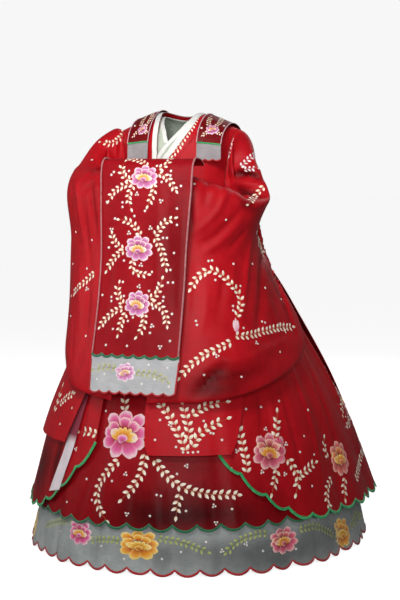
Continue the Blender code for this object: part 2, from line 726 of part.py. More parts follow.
def section_point(section, step):
    """The middle of the sleeve's section at a step, on the cubic through its four points."""
    point = Vector()
    for name, stop in SECTION_STOPS.items():
        weight = 1.0
        for other in SECTION_STOPS.values():
            if other != stop:
                weight *= (step - other) / (stop - other)
        point += Vector(section[name]) * weight
    return point


def sleeve_ring(section, side):
    """One closed ring of a robe sleeve, down its outer layer and back up the inner one."""
    turn = math.radians(section["facing"])
    facing = Vector((side * math.sin(turn), -math.cos(turn), 0))
    outer, inner = [], []
    for s in SLEEVE_STEPS:
        middle = section_point(section, s)
        half = facing * sheet_half(s, section)
        outer.append(middle + half)
        inner.append(middle - half)
    return outer + inner[-2:0:-1]


def armhole_ring(steps, bottom, edges, front_gap, back_gap):
    """The ring where a sleeve meets the body: down the back of the armhole and up its front."""
    front_edge, back_edge = edges
    outer, inner = [], []
    for s in steps:
        level = lerp(SHOULDER_SEAM, bottom, s)
        close = clamp((s - 0.84) / 0.16) ** 2
        sign = 1 if front_edge > 0 else -1
        back, front = back_gap(level), front_gap(level)
        if s in (steps[0], steps[-1]):
            back = front = max(back, front)
        nudge = sign * SHOULDER_NUDGE if s == steps[0] else 0.0
        outer.append(over_shoulder(lerp(back_edge - nudge, sign * 90, close), level, back))
        inner.append(over_shoulder(lerp(front_edge + nudge, sign * 90, close), level, front))
    return outer + inner[-2:0:-1]


def through(rings, count):
    """count rings spaced along a smooth run through the given ones."""
    made = []
    for t in spread(count - 1):
        place = t * (len(rings) - 1)
        low = min(int(place), len(rings) - 2)
        u = place - low
        before, start = rings[max(0, low - 1)], rings[low]
        end, after = rings[low + 1], rings[min(len(rings) - 1, low + 2)]
        made.append([
            0.5 * ((2 * b) + (c - a) * u + (2 * a - 5 * b + 4 * c - d) * u**2
                   + (3 * b - a - 3 * c + d) * u**3)
            for a, b, c, d in zip(before, start, end, after)
        ])
    return made


def ring_inside(rings):
    return lambda j: (sum(rings[j], Vector()) + sum(rings[j + 1], Vector())) / (2 * len(rings[j]))


def arm_ring(section, arm, side):
    """One closed ring of a jacket sleeve round the arm inside the robe's sleeve."""
    length = sum(
        (Vector(section[b]) - Vector(section[a])).length
        for a, b in (("ridge", "upper"), ("upper", "lower"), ("lower", "fold"))
    )
    turn = math.radians(section["facing"])
    facing = Vector((side * math.sin(turn), -math.cos(turn), 0))
    outer, inner = [], []
    for s in ARM_STEPS:
        swing = math.pi * s
        below = ARM_DROP + arm["radius"] * (1 - math.cos(swing))
        middle = section_point(section, below / length) - Vector((side * arm["tuck"], 0, 0))
        outer.append(middle + facing * arm["radius"] * math.sin(swing))
        inner.append(middle - facing * arm["radius"] * math.sin(swing))
    return outer + inner[-2:0:-1]


def robe_side_gap(level):
    return robe_gap(90, min(level, CHEST_HEIGHT))


def make_sleeves():
    for side, name, table in ((1, "left", LEFT_SLEEVE), (-1, "right", RIGHT_SLEEVE)):
        edges = (side * 74.8, side * 105.0)
        start = armhole_ring(SLEEVE_STEPS, ARMHOLE_BOTTOM, edges, robe_side_gap, robe_side_gap)
        rings = through([start] + [sleeve_ring(section, side) for section in table], SLEEVE_RINGS)
        inside = ring_inside(rings)
        cloth(f"robe_{name}_sleeve", rings, ROBE_WALL, "red_silk", inside, ring=True)
        start = armhole_ring(
            ARM_STEPS, JACKET_ARMHOLE_BOTTOM, (side * 77.8, side * 102.1),
            lambda level: jacket_gap(name, level), lambda level: jacket_gap("back", level),
        )
        arms = [arm_ring(section, arm, side) for section, arm in zip(table, ARM_SECTIONS)]
        rings = through([start] + arms, ARM_RINGS)
        inside = ring_inside(rings)
        cloth(f"jacket_{name}_sleeve", rings, TRIM_WALL, "jade_silk", inside, ring=True)


# ---- front cloth -------------------------------------------------------------------------


def fall_table():
    """CLOTH_FALL with each row's distance along the fall."""
    along, table = 0.0, []
    for n, row in enumerate(CLOTH_FALL):
        if n:
            last = CLOTH_FALL[n - 1]
            along += math.hypot(row["y"] - last["y"], row["height"] - last["height"])
        table.append(dict(row, along=along))
    return table


def cloth_point(table, across, along, lift):
    """A point of the front cloth: across runs from -1 to 1, lift stands out from its face."""
    def at(distance):
        return Vector((0, eased(table, "along", "y", distance), eased(table, "along", "height", distance)))
    run = (at(along + 0.002) - at(along - 0.002)).normalized()
    face = Vector((0, run.z, -run.y))
    x = across * eased(table, "along", "half", along)
    crown = Vector((0, CLOTH_CROWN * x * x, 0)) * clamp((along - 0.08) / 0.10)
    return at(along) + face * lift + crown + Vector((CLOTH_CENTRE + x, 0, 0))


def make_front_cloth():
    table = fall_table()
    turn = table[CLOTH_TURN]["along"]
    end = table[-1]["along"] - 0.001
    inside = lambda j: Vector((0, -0.262, 0.90))
    stops = [row["along"] for row in table[:CLOTH_TURN]]
    stops[0] += 0.003
    rows = [
        [cloth_point(table, lerp(-1, 1, t), stop, 0.0) for t in spread(CLOTH_SCALLOPS // 2)]
        for stop in stops
    ]
    rows.append([
        cloth_point(table, lerp(-1, 1, t), turn - CLOTH_SCALLOP_DEPTH - 0.012, 0.0)
        for t in spread(CLOTH_SCALLOPS)
    ])
    rows.append(scalloped_cloth(table, turn, 0.0))
    cloth("front_cloth", rows, TRIM_WALL, "red_silk", inside)
    behind = -(TRIM_WALL + SEAM_GAP)
    rows = [
        [cloth_point(table, lerp(-1, 1, t), stop, behind) for t in spread(CLOTH_SCALLOPS)]
        for stop in (turn - CLOTH_OVERLAP, (turn + end) / 2, end - 0.016)
    ]
    rows.append(scalloped_cloth(table, end, behind))
    cloth("front_cloth_end", rows, TRIM_WALL, "grey_organza", inside)
    for side, name in ((-1, "right"), (1, "left")):
        rows = []
        for stop in stops + [turn - CLOTH_SCALLOP_DEPTH - 0.001]:
            half = eased(table, "along", "half", stop)
            rows.append([
                cloth_point(table, side * (1 - back / half), stop, TRIM_WALL + 1.5 * SEAM_GAP)
                for back in (0.0, PIPING_WIDTH)
            ])
        cloth(f"front_cloth_{name}_piping", rows, TRIM_WALL, "rose_piping", inside)


def scalloped_cloth(table, stop, lift):
    return [
        cloth_point(table, lerp(-1, 1, i / (3 * CLOTH_SCALLOPS)),
                    stop - CLOTH_SCALLOP_DEPTH + scallop(i % 3 / 3, CLOTH_SCALLOP_DEPTH), lift)
        for i in range(3 * CLOTH_SCALLOPS + 1)
    ]


# ---- shoulder ribbons --------------------------------------------------------------------


def ribbon_point(x, level, back, lift):
    """A point of a ribbon laid over the robe, held flat where the body curves away."""
    angle_level = min(level, CHEST_HEIGHT)
    stand_off = robe_gap(90, angle_level) + lift
    held = max(-RIBBON_FLAT_FROM, min(RIBBON_FLAT_FROM, x))
    reach = abs(over_shoulder(90, level, stand_off).x)
    angle = math.degrees(math.asin(held / reach))
    point = over_shoulder(180 - angle if back else angle, level, stand_off)
    climb = clamp((level - CHEST_HEIGHT) / SHOULDER_ARC)
    drop = (shoulder_height(x) - shoulder_height(held)) * math.sin(math.radians(90 * climb))
    return Vector((x, point.y, point.z + drop))


def make_ribbons():
    front_lift = 2 * COLLAR_LIFT + NAPE_LIFT + TRIM_WALL + 0.0033
    for name, ribbon in (("left_ribbon", LEFT_RIBBON), ("right_ribbon", RIGHT_RIBBON)):
        middle = ribbon["middle"]
        inside = lambda j: Vector((middle, 0, 1.20))
        end_level = ribbon["front"] + RIBBON_END

        def across(t):
            return middle + lerp(-RIBBON_HALF_WIDTH, RIBBON_HALF_WIDTH, t)

        route = [(level, True) for level in (ribbon["back"], 1.27, 1.33, 1.37)]
        route += [(level, False) for level in (1.40, 1.37, 1.335, 1.30, end_level + 0.010)]
        rows = [
            [ribbon_point(across(t), level, back, front_lift) for t in spread(RIBBON_SCALLOPS)]
            for level, back in route
        ]
        rows.append([
            ribbon_point(across(t), end_level, False, front_lift) for t in spread(RIBBON_SCALLOPS)
        ])
        cloth(name, rows, TRIM_WALL, "red_silk", inside)
        behind = front_lift - TRIM_WALL - SEAM_GAP
        rows = [
            [ribbon_point(across(t), level, False, behind) for t in spread(RIBBON_SCALLOPS)]
            for level in (end_level + 0.010, end_level, ribbon["front"] + 0.012)
        ]
        rows.append([
            ribbon_point(across(i / (3 * RIBBON_SCALLOPS)),
                         ribbon["front"] + RIBBON_SCALLOP_DEPTH
                         - scallop(i % 3 / 3, RIBBON_SCALLOP_DEPTH), False, behind)
            for i in range(3 * RIBBON_SCALLOPS + 1)
        ])
        cloth(f"{name}_end", rows, TRIM_WALL, "grey_organza", inside)


# ---- build -------------------------------------------------------------------------------


def clear_scene():
    for old in list(bpy.data.objects):
        bpy.data.objects.remove(old)


def main():
    clear_scene()
    shoulders = bpy.data.objects.new("wearer_shoulders", None)
    bpy.context.scene.collection.objects.link(shoulders)
    make_underskirt()
    make_skirt()
    make_overskirt()
    make_waistband()
    make_tie()
    make_robe_body()
    make_jacket_body()
    make_collars()
    make_sleeves()
    make_front_cloth()
    make_ribbons()


main()
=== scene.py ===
"""The looks of a Korean bridal hanbok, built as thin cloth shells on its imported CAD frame.

Metres, +Z up, the front faces -Y, origin at the wearer's shoulders. Heights and levels in the
tables are above the floor, which is at z = -SHOULDER_HEIGHT. The cloth surfaces come from the
same named sizes as the CAD, sampled finely, with creases, embroidery and bound edges added.
"""

import json
import math

import bpy
import numpy as np
from mathutils import Vector
from mathutils.bvhtree import BVHTree
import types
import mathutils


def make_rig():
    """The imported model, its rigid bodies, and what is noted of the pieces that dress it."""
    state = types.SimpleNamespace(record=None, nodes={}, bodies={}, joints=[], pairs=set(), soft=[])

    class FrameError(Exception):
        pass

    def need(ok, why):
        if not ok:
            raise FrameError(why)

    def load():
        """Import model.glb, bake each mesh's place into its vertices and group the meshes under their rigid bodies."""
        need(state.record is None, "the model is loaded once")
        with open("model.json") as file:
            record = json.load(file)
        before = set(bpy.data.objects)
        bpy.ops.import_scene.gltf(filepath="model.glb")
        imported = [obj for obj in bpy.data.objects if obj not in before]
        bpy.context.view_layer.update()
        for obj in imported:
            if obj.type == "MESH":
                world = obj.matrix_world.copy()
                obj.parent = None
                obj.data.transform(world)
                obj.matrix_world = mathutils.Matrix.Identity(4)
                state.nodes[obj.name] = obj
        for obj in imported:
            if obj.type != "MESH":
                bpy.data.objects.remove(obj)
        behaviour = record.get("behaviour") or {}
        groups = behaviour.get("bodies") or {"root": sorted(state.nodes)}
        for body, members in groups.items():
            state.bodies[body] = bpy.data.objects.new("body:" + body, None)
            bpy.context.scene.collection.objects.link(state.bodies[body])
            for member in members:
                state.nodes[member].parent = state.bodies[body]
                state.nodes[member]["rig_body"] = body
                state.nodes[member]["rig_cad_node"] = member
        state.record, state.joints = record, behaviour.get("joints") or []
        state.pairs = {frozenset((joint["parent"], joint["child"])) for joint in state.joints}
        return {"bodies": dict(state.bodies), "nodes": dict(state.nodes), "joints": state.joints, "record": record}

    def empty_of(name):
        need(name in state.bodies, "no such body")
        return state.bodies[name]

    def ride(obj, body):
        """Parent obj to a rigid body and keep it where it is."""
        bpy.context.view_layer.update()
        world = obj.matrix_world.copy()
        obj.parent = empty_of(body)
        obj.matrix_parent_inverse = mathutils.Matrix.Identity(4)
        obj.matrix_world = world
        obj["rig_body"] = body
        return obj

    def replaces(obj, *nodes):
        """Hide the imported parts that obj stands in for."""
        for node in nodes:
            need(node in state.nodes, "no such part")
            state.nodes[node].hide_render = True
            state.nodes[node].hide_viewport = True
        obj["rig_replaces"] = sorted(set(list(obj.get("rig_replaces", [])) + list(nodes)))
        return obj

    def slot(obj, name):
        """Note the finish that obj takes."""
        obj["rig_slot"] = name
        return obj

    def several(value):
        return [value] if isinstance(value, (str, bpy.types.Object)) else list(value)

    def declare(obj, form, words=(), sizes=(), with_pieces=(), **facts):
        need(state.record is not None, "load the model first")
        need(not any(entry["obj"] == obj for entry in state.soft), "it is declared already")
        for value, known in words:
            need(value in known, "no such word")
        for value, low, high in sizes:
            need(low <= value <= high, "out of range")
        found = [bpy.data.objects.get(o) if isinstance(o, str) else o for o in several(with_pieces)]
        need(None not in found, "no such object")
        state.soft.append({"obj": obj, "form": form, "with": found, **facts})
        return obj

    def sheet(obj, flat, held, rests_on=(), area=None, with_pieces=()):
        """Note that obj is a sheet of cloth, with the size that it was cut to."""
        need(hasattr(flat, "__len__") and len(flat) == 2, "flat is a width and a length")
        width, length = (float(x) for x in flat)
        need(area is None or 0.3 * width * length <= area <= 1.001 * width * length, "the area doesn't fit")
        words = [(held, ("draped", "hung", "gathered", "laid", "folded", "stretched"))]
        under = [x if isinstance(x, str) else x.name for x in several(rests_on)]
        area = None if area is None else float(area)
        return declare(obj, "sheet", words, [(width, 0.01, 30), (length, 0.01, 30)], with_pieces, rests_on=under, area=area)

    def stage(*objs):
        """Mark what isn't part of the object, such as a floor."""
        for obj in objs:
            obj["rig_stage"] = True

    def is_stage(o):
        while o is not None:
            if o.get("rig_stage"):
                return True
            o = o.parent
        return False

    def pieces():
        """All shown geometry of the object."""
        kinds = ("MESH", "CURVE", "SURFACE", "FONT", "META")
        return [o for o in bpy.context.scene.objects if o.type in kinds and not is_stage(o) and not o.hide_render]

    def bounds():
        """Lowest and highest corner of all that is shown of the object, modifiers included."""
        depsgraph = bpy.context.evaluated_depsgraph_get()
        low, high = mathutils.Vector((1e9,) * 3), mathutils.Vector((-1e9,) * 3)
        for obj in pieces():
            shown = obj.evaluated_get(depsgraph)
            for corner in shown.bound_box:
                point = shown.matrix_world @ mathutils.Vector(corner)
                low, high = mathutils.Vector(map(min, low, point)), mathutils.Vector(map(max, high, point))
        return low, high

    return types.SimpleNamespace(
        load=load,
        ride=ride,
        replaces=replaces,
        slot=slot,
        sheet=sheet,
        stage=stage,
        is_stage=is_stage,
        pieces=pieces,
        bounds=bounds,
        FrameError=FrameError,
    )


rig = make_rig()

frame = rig.load()
cad_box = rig.bounds()

# ---- sizes shared with the CAD -----------------------------------------------------------

SHOULDER_HEIGHT = 1.36
TRIM_WALL = 0.0012
SEAM_GAP = 0.0006
SHOULDER_PARTING = 0.0016
SHOULDER_NUDGE = 4.0
WAISTBAND_TOP = 1.18
WAISTBAND_HEIGHT = 0.075
SKIRT_SCALLOPS = 46
SKIRT_STEP = 360 / SKIRT_SCALLOPS
SKIRT_SCALLOP_DEPTH = 0.018
UNDERSKIRT_HEM = 0.004
SKIRT_HEM = 0.140
OVERSKIRT_HEM = 0.143
OVERSKIRT_RISE = 0.227
OVERSKIRT_CORNER = 32.0
OVERSKIRT_FIRST_COLUMN = 4
OVERSKIRT_COLUMNS = 40
CHEST_HEIGHT = 1.27
SHOULDER_ARC = 0.13
SHOULDER_SEAM = CHEST_HEIGHT + SHOULDER_ARC
SEAM_Y = 0.005
NECK_HALF_WIDTH = 0.0633
NECK_SHIFT = 0.0087
NECK_HEIGHT = 1.388
SHOULDER_SLOPE = 0.42
SHOULDER_FLAT = 0.05
SHOULDER_ROUNDING = 0.0009
SHOULDER_SPREAD = 1.09
BACK_NECK_DIP = 0.31
ARMHOLE_BOTTOM = 0.95
ARMHOLE_EDGES = (74.8, 105.0)
JACKET_ARMHOLE_BOTTOM = 1.165
JACKET_ARMHOLE_EDGES = (77.8, 102.1)
TIE_WIDTH = 0.050
TIE_LIFT = 0.0057
COLLAR_WIDTH = 0.036
COLLAR_LIFT = 0.0028
NAPE_LIFT = 0.0012
COLLAR_STRIP_WIDTH = 0.017
ARM_DROP = 0.020
CLOTH_CENTRE = 0.012
CLOTH_CROWN = 0.60
CLOTH_SCALLOPS = 8
CLOTH_SCALLOP_DEPTH = 0.008
CLOTH_TURN = 10
CLOTH_OVERLAP = 0.014
PIPING_WIDTH = 0.005
RIBBON_HALF_WIDTH = 0.039
RIBBON_FLAT_FROM = 0.118
RIBBON_SCALLOPS = 3
RIBBON_SCALLOP_DEPTH = 0.005
RIBBON_END = 0.048

# height, then the form's reach to the side, the front and the back
FORM = (
    (0.00, 0.556, 0.438, 0.812), (0.17, 0.511, 0.425, 0.790), (0.40, 0.449, 0.385, 0.690),
    (0.80, 0.298, 0.265, 0.398), (0.92, 0.236, 0.205, 0.290), (1.00, 0.190, 0.168, 0.180),
    (1.10, 0.160, 0.134, 0.124), (1.18, 0.156, 0.118, 0.112), (1.27, 0.168, 0.108, 0.112),
)
# angle round the body, width in degrees, how proud, from what height
SKIRT_FOLDS = (
    (-165, 15, 0.022, 1.00), (-133, 11, 0.016, 0.90), (-104, 13, 0.020, 0.95),
    (-73, 11, 0.020, 0.80), (-52, 10, 0.013, 0.75), (-27, 9, 0.010, 0.55),
    (-3, 10, 0.008, 0.45), (20, 9, 0.010, 0.60), (43, 10, 0.014, 0.85),
    (67, 9, 0.017, 0.95), (90, 10, 0.018, 1.00), (114, 15, 0.042, 1.00),
    (142, 10, 0.015, 0.90), (170, 13, 0.021, 1.00),
)
# narrower creases between those folds: angle, width, how proud (below 0 for a trough), top, drift
SKIRT_CREASES = (
    (-151, 3.2, -0.007, 0.92, 2), (-119, 2.8, -0.006, 0.80, -1), (-90, 3.0, -0.007, 0.86, 2),
    (-63, 2.4, -0.005, 0.70, -2), (-40, 2.2, 0.005, 0.62, 1), (-33, 2.0, -0.006, 0.48, 2),
    (-15, 2.4, -0.005, 0.50, 1), (-9, 1.8, 0.004, 0.42, 0), (4, 1.7, -0.0055, 0.40, -1),
    (10, 1.9, 0.0045, 0.44, 1), (30, 2.4, -0.005, 0.66, 2), (36, 2.0, 0.004, 0.60, 0),
    (55, 2.8, -0.007, 0.86, -2), (61, 2.2, 0.004, 0.70, 0), (79, 3.0, -0.007, 0.92, 1),
    (103, 3.2, -0.008, 0.95, -2), (129, 2.8, -0.006, 0.84, 2), (156, 3.4, -0.008, 0.92, -2),
    (-178, 2.6, -0.006, 0.88, 1),
)
# where the sleeves press the skirts in: angle, width, height, rise, depth
SLEEVE_PRESSES = ((-68, 40, 0.64, 0.15, 0.018), (78, 32, 0.70, 0.14, 0.016))
# how far the other skirts lie off the middle one at the waistband, and how much further at the
# floor, all round and behind; then the same for the robe off the outer skirt
SKIRT_GAP, SKIRT_HEM_GAP, BACK_HEM_GAP = 0.0023, 0.012, 0.030
ROBE_GAP, ROBE_HEM_GAP = 0.0158, 0.002
# how far the underskirt is drawn in behind at the floor, and below what height that starts
BACK_DRAW, DRAW_TOP = 0.100, 0.45
# how far the jacket lies off the form at the chest and at the waistband; one gives way to the
# other down from the first of the two heights below, over the second
JACKET_GAPS = {"left": (0.0112, 0.0130), "right": (0.0055, 0.0092), "back": (0.0072, 0.0118)}
JACKET_GAP_TURN, JACKET_GAP_EASE = 1.25, 0.06
# panel edges: level, then inner and outer edge in degrees round the body
ROBE_LEFT_FRONT = (
    (0.366, 7.5, 36.2), (0.40, 6.0, 38.5), (0.63, 5.0, 48.0), (0.80, 3.5, 58.0),
    (0.95, 1.0, 74.0), (1.12, -3.5, 74.0), (1.20, -5.0, 74.0), (1.25, -0.6, 74.0),
    (1.294, 11.3, 74.0), (1.324, 17.5, 74.0), (1.36, 19.8, 74.0), (1.40, 21.3, 74.0),
)
ROBE_RIGHT_FRONT = (
    (0.373, -31.0, -61.0), (0.53, -25.0, -61.0), (0.63, -21.0, -62.0), (0.80, -14.0, -66.0),
    (0.95, -11.0, -74.0), (1.12, -10.0, -74.0), (1.20, -9.5, -74.0), (1.27, -8.5, -74.0),
    (1.33, -10.0, -74.0), (1.36, -12.0, -74.0), (1.40, -16.0, -74.0),
)
ROBE_BACK = (
    (0.30, 126.0, 234.0), (0.63, 119.0, 241.0), (0.80, 113.0, 247.0),
    (0.95, 106.0, 254.0), (1.40, 106.0, 254.0),
)
JACKET_LEFT_FRONT = (
    (1.135, -22.0, 77.0), (1.20, -18.0, 77.0), (1.27, -6.0, 77.0), (1.296, 3.6, 77.0),
    (1.324, 12.1, 77.0), (1.36, 17.6, 77.0), (1.40, 19.7, 77.0),
)
JACKET_RIGHT_FRONT = (
    (1.135, 20.0, -77.0), (1.20, 14.0, -77.0), (1.27, 6.0, -77.0), (1.296, 0.8, -77.0),
    (1.324, -3.7, -77.0), (1.355, -9.7, -77.0), (1.40, -14.4, -77.0),
)
JACKET_BACK = ((1.135, 103.0, 257.0), (1.40, 103.0, 257.0))
# side, how many times as wide the collar is low on that front, and the panel it runs along
COLLAR_FRONTS = ((-1, 1.0, ROBE_RIGHT_FRONT), (1, 1.22, ROBE_LEFT_FRONT))
# the level where that width begins to even out, and how far up it takes
COLLAR_EVENS, COLLAR_EVENING = 1.33, 0.06
# the level of the collar's lower end, and of its bend over the chest
COLLAR_BOTTOM, COLLAR_BEND = 1.19, 1.30
JACKET_COLLAR_LIFT = TRIM_WALL + 2 * SEAM_GAP
# places across the jacket's collar from its panel's edge, and how many times as wide in front
JACKET_COLLAR_ACROSS = np.linspace(-0.001, 0.012, 5)
JACKET_COLLAR_WIDER = 1.25
# height and angle of the white tie
TIE_ROUTE = ((0.218, -33.8), (0.373, -29.0), (0.53, -27.6), (0.80, -21.0), (1.128, -14.0))
# ridge, upper, lower and bottom fold points, facing, half thickness round the arm and below it
LEFT_SLEEVE = (
    ((0.214, 0.004, 1.328), (0.238, 0.020, 1.040), (0.272, 0.045, 0.900), (0.322, 0.070, 0.800),
     158, 0.050, 0.022),
    ((0.238, -0.012, 1.256), (0.244, 0.026, 0.990), (0.308, 0.052, 0.855), (0.378, 0.085, 0.700),
     124, 0.044, 0.015),
    ((0.300, -0.055, 1.138), (0.270, -0.030, 0.960), (0.322, -0.012, 0.830), (0.405, 0.030, 0.645),
     90, 0.044, 0.014),
    ((0.262, -0.134, 1.143), (0.264, -0.138, 0.940), (0.304, -0.130, 0.810),
     (0.398, -0.090, 0.595), 66, 0.046, 0.016),
    ((0.176, -0.204, 1.178), (0.215, -0.228, 0.930), (0.262, -0.240, 0.790),
     (0.348, -0.248, 0.555), 42, 0.048, 0.018),
    ((0.088, -0.246, 1.215), (0.118, -0.285, 0.930), (0.165, -0.310, 0.790),
     (0.245, -0.352, 0.530), 24, 0.042, 0.014),
    ((0.012, -0.262, 1.232), (0.018, -0.300, 0.930), (0.030, -0.332, 0.790),
     (0.060, -0.408, 0.522), 6, 0.034, 0.011),
)
RIGHT_SLEEVE = (
    ((-0.226, 0.000, 1.348), (-0.250, 0.020, 1.060), (-0.285, 0.045, 0.910),
     (-0.325, 0.075, 0.820), 158, 0.048, 0.022),
    ((-0.264, -0.020, 1.318), (-0.312, 0.015, 1.030), (-0.335, 0.045, 0.870),
     (-0.362, 0.080, 0.730), 122, 0.046, 0.018),
    ((-0.266, -0.070, 1.262), (-0.330, -0.045, 1.000), (-0.345, -0.020, 0.850),
     (-0.368, 0.015, 0.685), 88, 0.044, 0.017),
    ((-0.252, -0.145, 1.220), (-0.302, -0.145, 0.970), (-0.314, -0.132, 0.820),
     (-0.340, -0.105, 0.655), 64, 0.046, 0.014),
    ((-0.180, -0.206, 1.212), (-0.226, -0.232, 0.950), (-0.250, -0.248, 0.800),
     (-0.276, -0.262, 0.605), 42, 0.046, 0.012),
    ((-0.092, -0.246, 1.224), (-0.122, -0.286, 0.930), (-0.155, -0.312, 0.790),
     (-0.210, -0.354, 0.550), 24, 0.042, 0.012),
    ((-0.012, -0.262, 1.232), (-0.018, -0.300, 0.930), (-0.030, -0.332, 0.790),
     (-0.060, -0.408, 0.522), 6, 0.034, 0.011),
)
SECTION_STOPS = (0.0, 0.44, 0.67, 1.0)
# shares down a section where its upper fold ends and its lower one begins
TOP_FOLD, BOTTOM_FOLD = 0.09, 0.88
# jacket sleeve's radius and tuck, from shoulder to wrist
ARM_SECTIONS = (
    (0.018, 0.012), (0.020, 0.009), (0.024, 0.002), (0.025, 0.0), (0.025, 0.0), (0.025, 0.0),
)
# the front cloth's fall: y, height, half width
CLOTH_FALL = (
    (-0.204, 1.226, 0.151), (-0.222, 1.239, 0.152), (-0.245, 1.247, 0.152),
    (-0.268, 1.249, 0.152), (-0.294, 1.233, 0.152), (-0.312, 1.180, 0.151),
    (-0.324, 1.090, 0.147), (-0.338, 0.940, 0.141), (-0.355, 0.840, 0.141),
    (-0.380, 0.740, 0.142), (-0.404, 0.655, 0.143), (-0.431, 0.547, 0.139),
)
# middle across the body, level of the front end and of the back end
RIBBONS = {"left_ribbon": (0.141, 1.243, 1.18), "right_ribbon": (-0.096, 1.243, 1.18)}

# ---- how finely the looks sample the cloth -----------------------------------------------

SKIRT_ROWS = 46
# steps across each scallop of a hem
LOBE_STEPS = 8
ROBE_SLEEVE_RINGS = 150
JACKET_SLEEVE_RINGS = 60


# ---- camera, at the view's own angle -----------------------------------------------------

FRAME_WIDTH, FRAME_HEIGHT = 400, 600
CAMERA_DISTANCE = 5.0
CAMERA_AZIMUTH = 22.0
CAMERA_HEIGHT = 1.22
CAMERA_PITCH = -4.84
CAMERA_YAW = 0.74
FOCAL_PIXELS = 1556.0
SENSOR_WIDTH = 36.0


def make_camera():
    data = bpy.data.cameras.new("camera")
    data.sensor_fit = "AUTO"
    data.sensor_width = SENSOR_WIDTH
    data.lens = SENSOR_WIDTH * FOCAL_PIXELS / FRAME_HEIGHT
    data.clip_start, data.clip_end = 0.1, 100.0
    camera = bpy.data.objects.new("camera", data)
    bpy.context.scene.collection.objects.link(camera)
    turn = math.radians(CAMERA_AZIMUTH)
    camera.location = (
        CAMERA_DISTANCE * math.sin(turn),
        -CAMERA_DISTANCE * math.cos(turn),
        CAMERA_HEIGHT - SHOULDER_HEIGHT,
    )
    camera.rotation_euler = (
        math.radians(90 + CAMERA_PITCH), 0, turn - math.radians(CAMERA_YAW),
    )
    bpy.context.scene.camera = camera
    bpy.context.view_layer.update()
    return camera


camera = make_camera()


def view_ray(x, y):
    """Where the camera is and the direction it sees at a place in the 400 x 600 frame."""
    local = Vector((
        (x - FRAME_WIDTH / 2) / FOCAL_PIXELS, -(y - FRAME_HEIGHT / 2) / FOCAL_PIXELS, -1,
    ))
    return camera.location.copy(), (camera.matrix_world.to_3x3() @ local).normalized()


# ---- the cloth's surfaces ----------------------------------------------------------------


def smooth(keys, values):
    """A smooth curve through points whose keys rise, as a function of arrays."""
    keys, values = np.array(keys, float), np.array(values, float)
    spans = np.diff(keys)
    rises = np.diff(values) / spans
    slopes = np.concatenate((rises[:1], np.zeros(len(keys) - 2), rises[-1:]))
    for i in range(1, len(keys) - 1):
        if rises[i - 1] * rises[i] > 0:
            slopes[i] = 2 * rises[i - 1] * rises[i] / (rises[i - 1] + rises[i])

    def curve(at):
        at = np.clip(at, keys[0], keys[-1])
        low = np.clip(np.searchsorted(keys, at, side="right") - 1, 0, len(keys) - 2)
        t = (at - keys[low]) / spans[low]
        return (
            values[low] * (1 + 2 * t) * (1 - t) ** 2
            + values[low + 1] * t * t * (3 - 2 * t)
            + slopes[low] * spans[low] * t * (1 - t) ** 2
            - slopes[low + 1] * spans[low] * t * t * (1 - t)
        )

    return curve


def column(rows, number):
    return smooth([row[0] for row in rows], [row[number] for row in rows])


form_side, form_front, form_back = (column(FORM, n) for n in (1, 2, 3))


def lerp(a, b, t):
    return a + (b - a) * t


def clamp(value):
    return np.clip(value, 0.0, 1.0)


def turn_between(angle, other):
    return (angle - other + 180) % 360 - 180


def proud(angle, height):
    """How far the skirts' folds and creases stand out, less what the sleeves press in."""
    total = 0.0
    for middle, width, depth, top in SKIRT_FOLDS:
        share = clamp((top - height) / top) ** 1.3
        total = total + depth * share * np.exp(-((turn_between(angle, middle) / width) ** 2))
    for middle, width, depth, top, drift in SKIRT_CREASES:
        share = clamp((top - height) / top)
        away = turn_between(angle, middle + drift * np.sin(3 * share)) / width
        total = total + depth * share**0.8 * np.exp(-(away**2))
    for middle, width, level, rise, depth in SLEEVE_PRESSES:
        away = turn_between(angle, middle) / width
        total = total - depth * np.exp(-(away**2) - ((height - level) / rise) ** 2)
    return total


def stack(x, y, z):
    return np.stack(np.broadcast_arrays(x, y, z), axis=-1)


def form_point(angle, height, stand_off):
    side, front, back = (curve(height) + stand_off for curve in (form_side, form_front, form_back))
    turn = np.radians(angle)
    out = proud(angle, height)
    depth = (front + back) / 2 + out
    return stack((side + out) * np.sin(turn), (back - front) / 2 - depth * np.cos(turn), height)


def lowness(height):
    return clamp((WAISTBAND_TOP - height) / WAISTBAND_TOP)


def backness(angle):
    return (1 - np.cos(np.radians(angle))) / 2


def underskirt_gap(angle, height):
    drawn = BACK_DRAW * backness(angle) ** 3 * clamp((DRAW_TOP - height) / DRAW_TOP)
    return -(SKIRT_GAP + SKIRT_HEM_GAP * lowness(height)) - drawn


def overskirt_gap(angle, height):
    return SKIRT_GAP + (SKIRT_HEM_GAP + BACK_HEM_GAP * backness(angle)) * lowness(height)


def robe_gap(angle, height):
    return overskirt_gap(angle, height) + ROBE_GAP + ROBE_HEM_GAP * lowness(height)


def robe_side_gap(level):
    return robe_gap(90, np.minimum(level, CHEST_HEIGHT))


def jacket_gap(panel, level):
    chest, band = JACKET_GAPS[panel]
    return lerp(chest, band, clamp((JACKET_GAP_TURN - level) / JACKET_GAP_EASE))


def shoulder_height(x):
    beyond = np.maximum(0.0, np.abs(x) - SHOULDER_FLAT)
    return NECK_HEIGHT - SHOULDER_SLOPE * np.sqrt(beyond**2 + SHOULDER_ROUNDING)


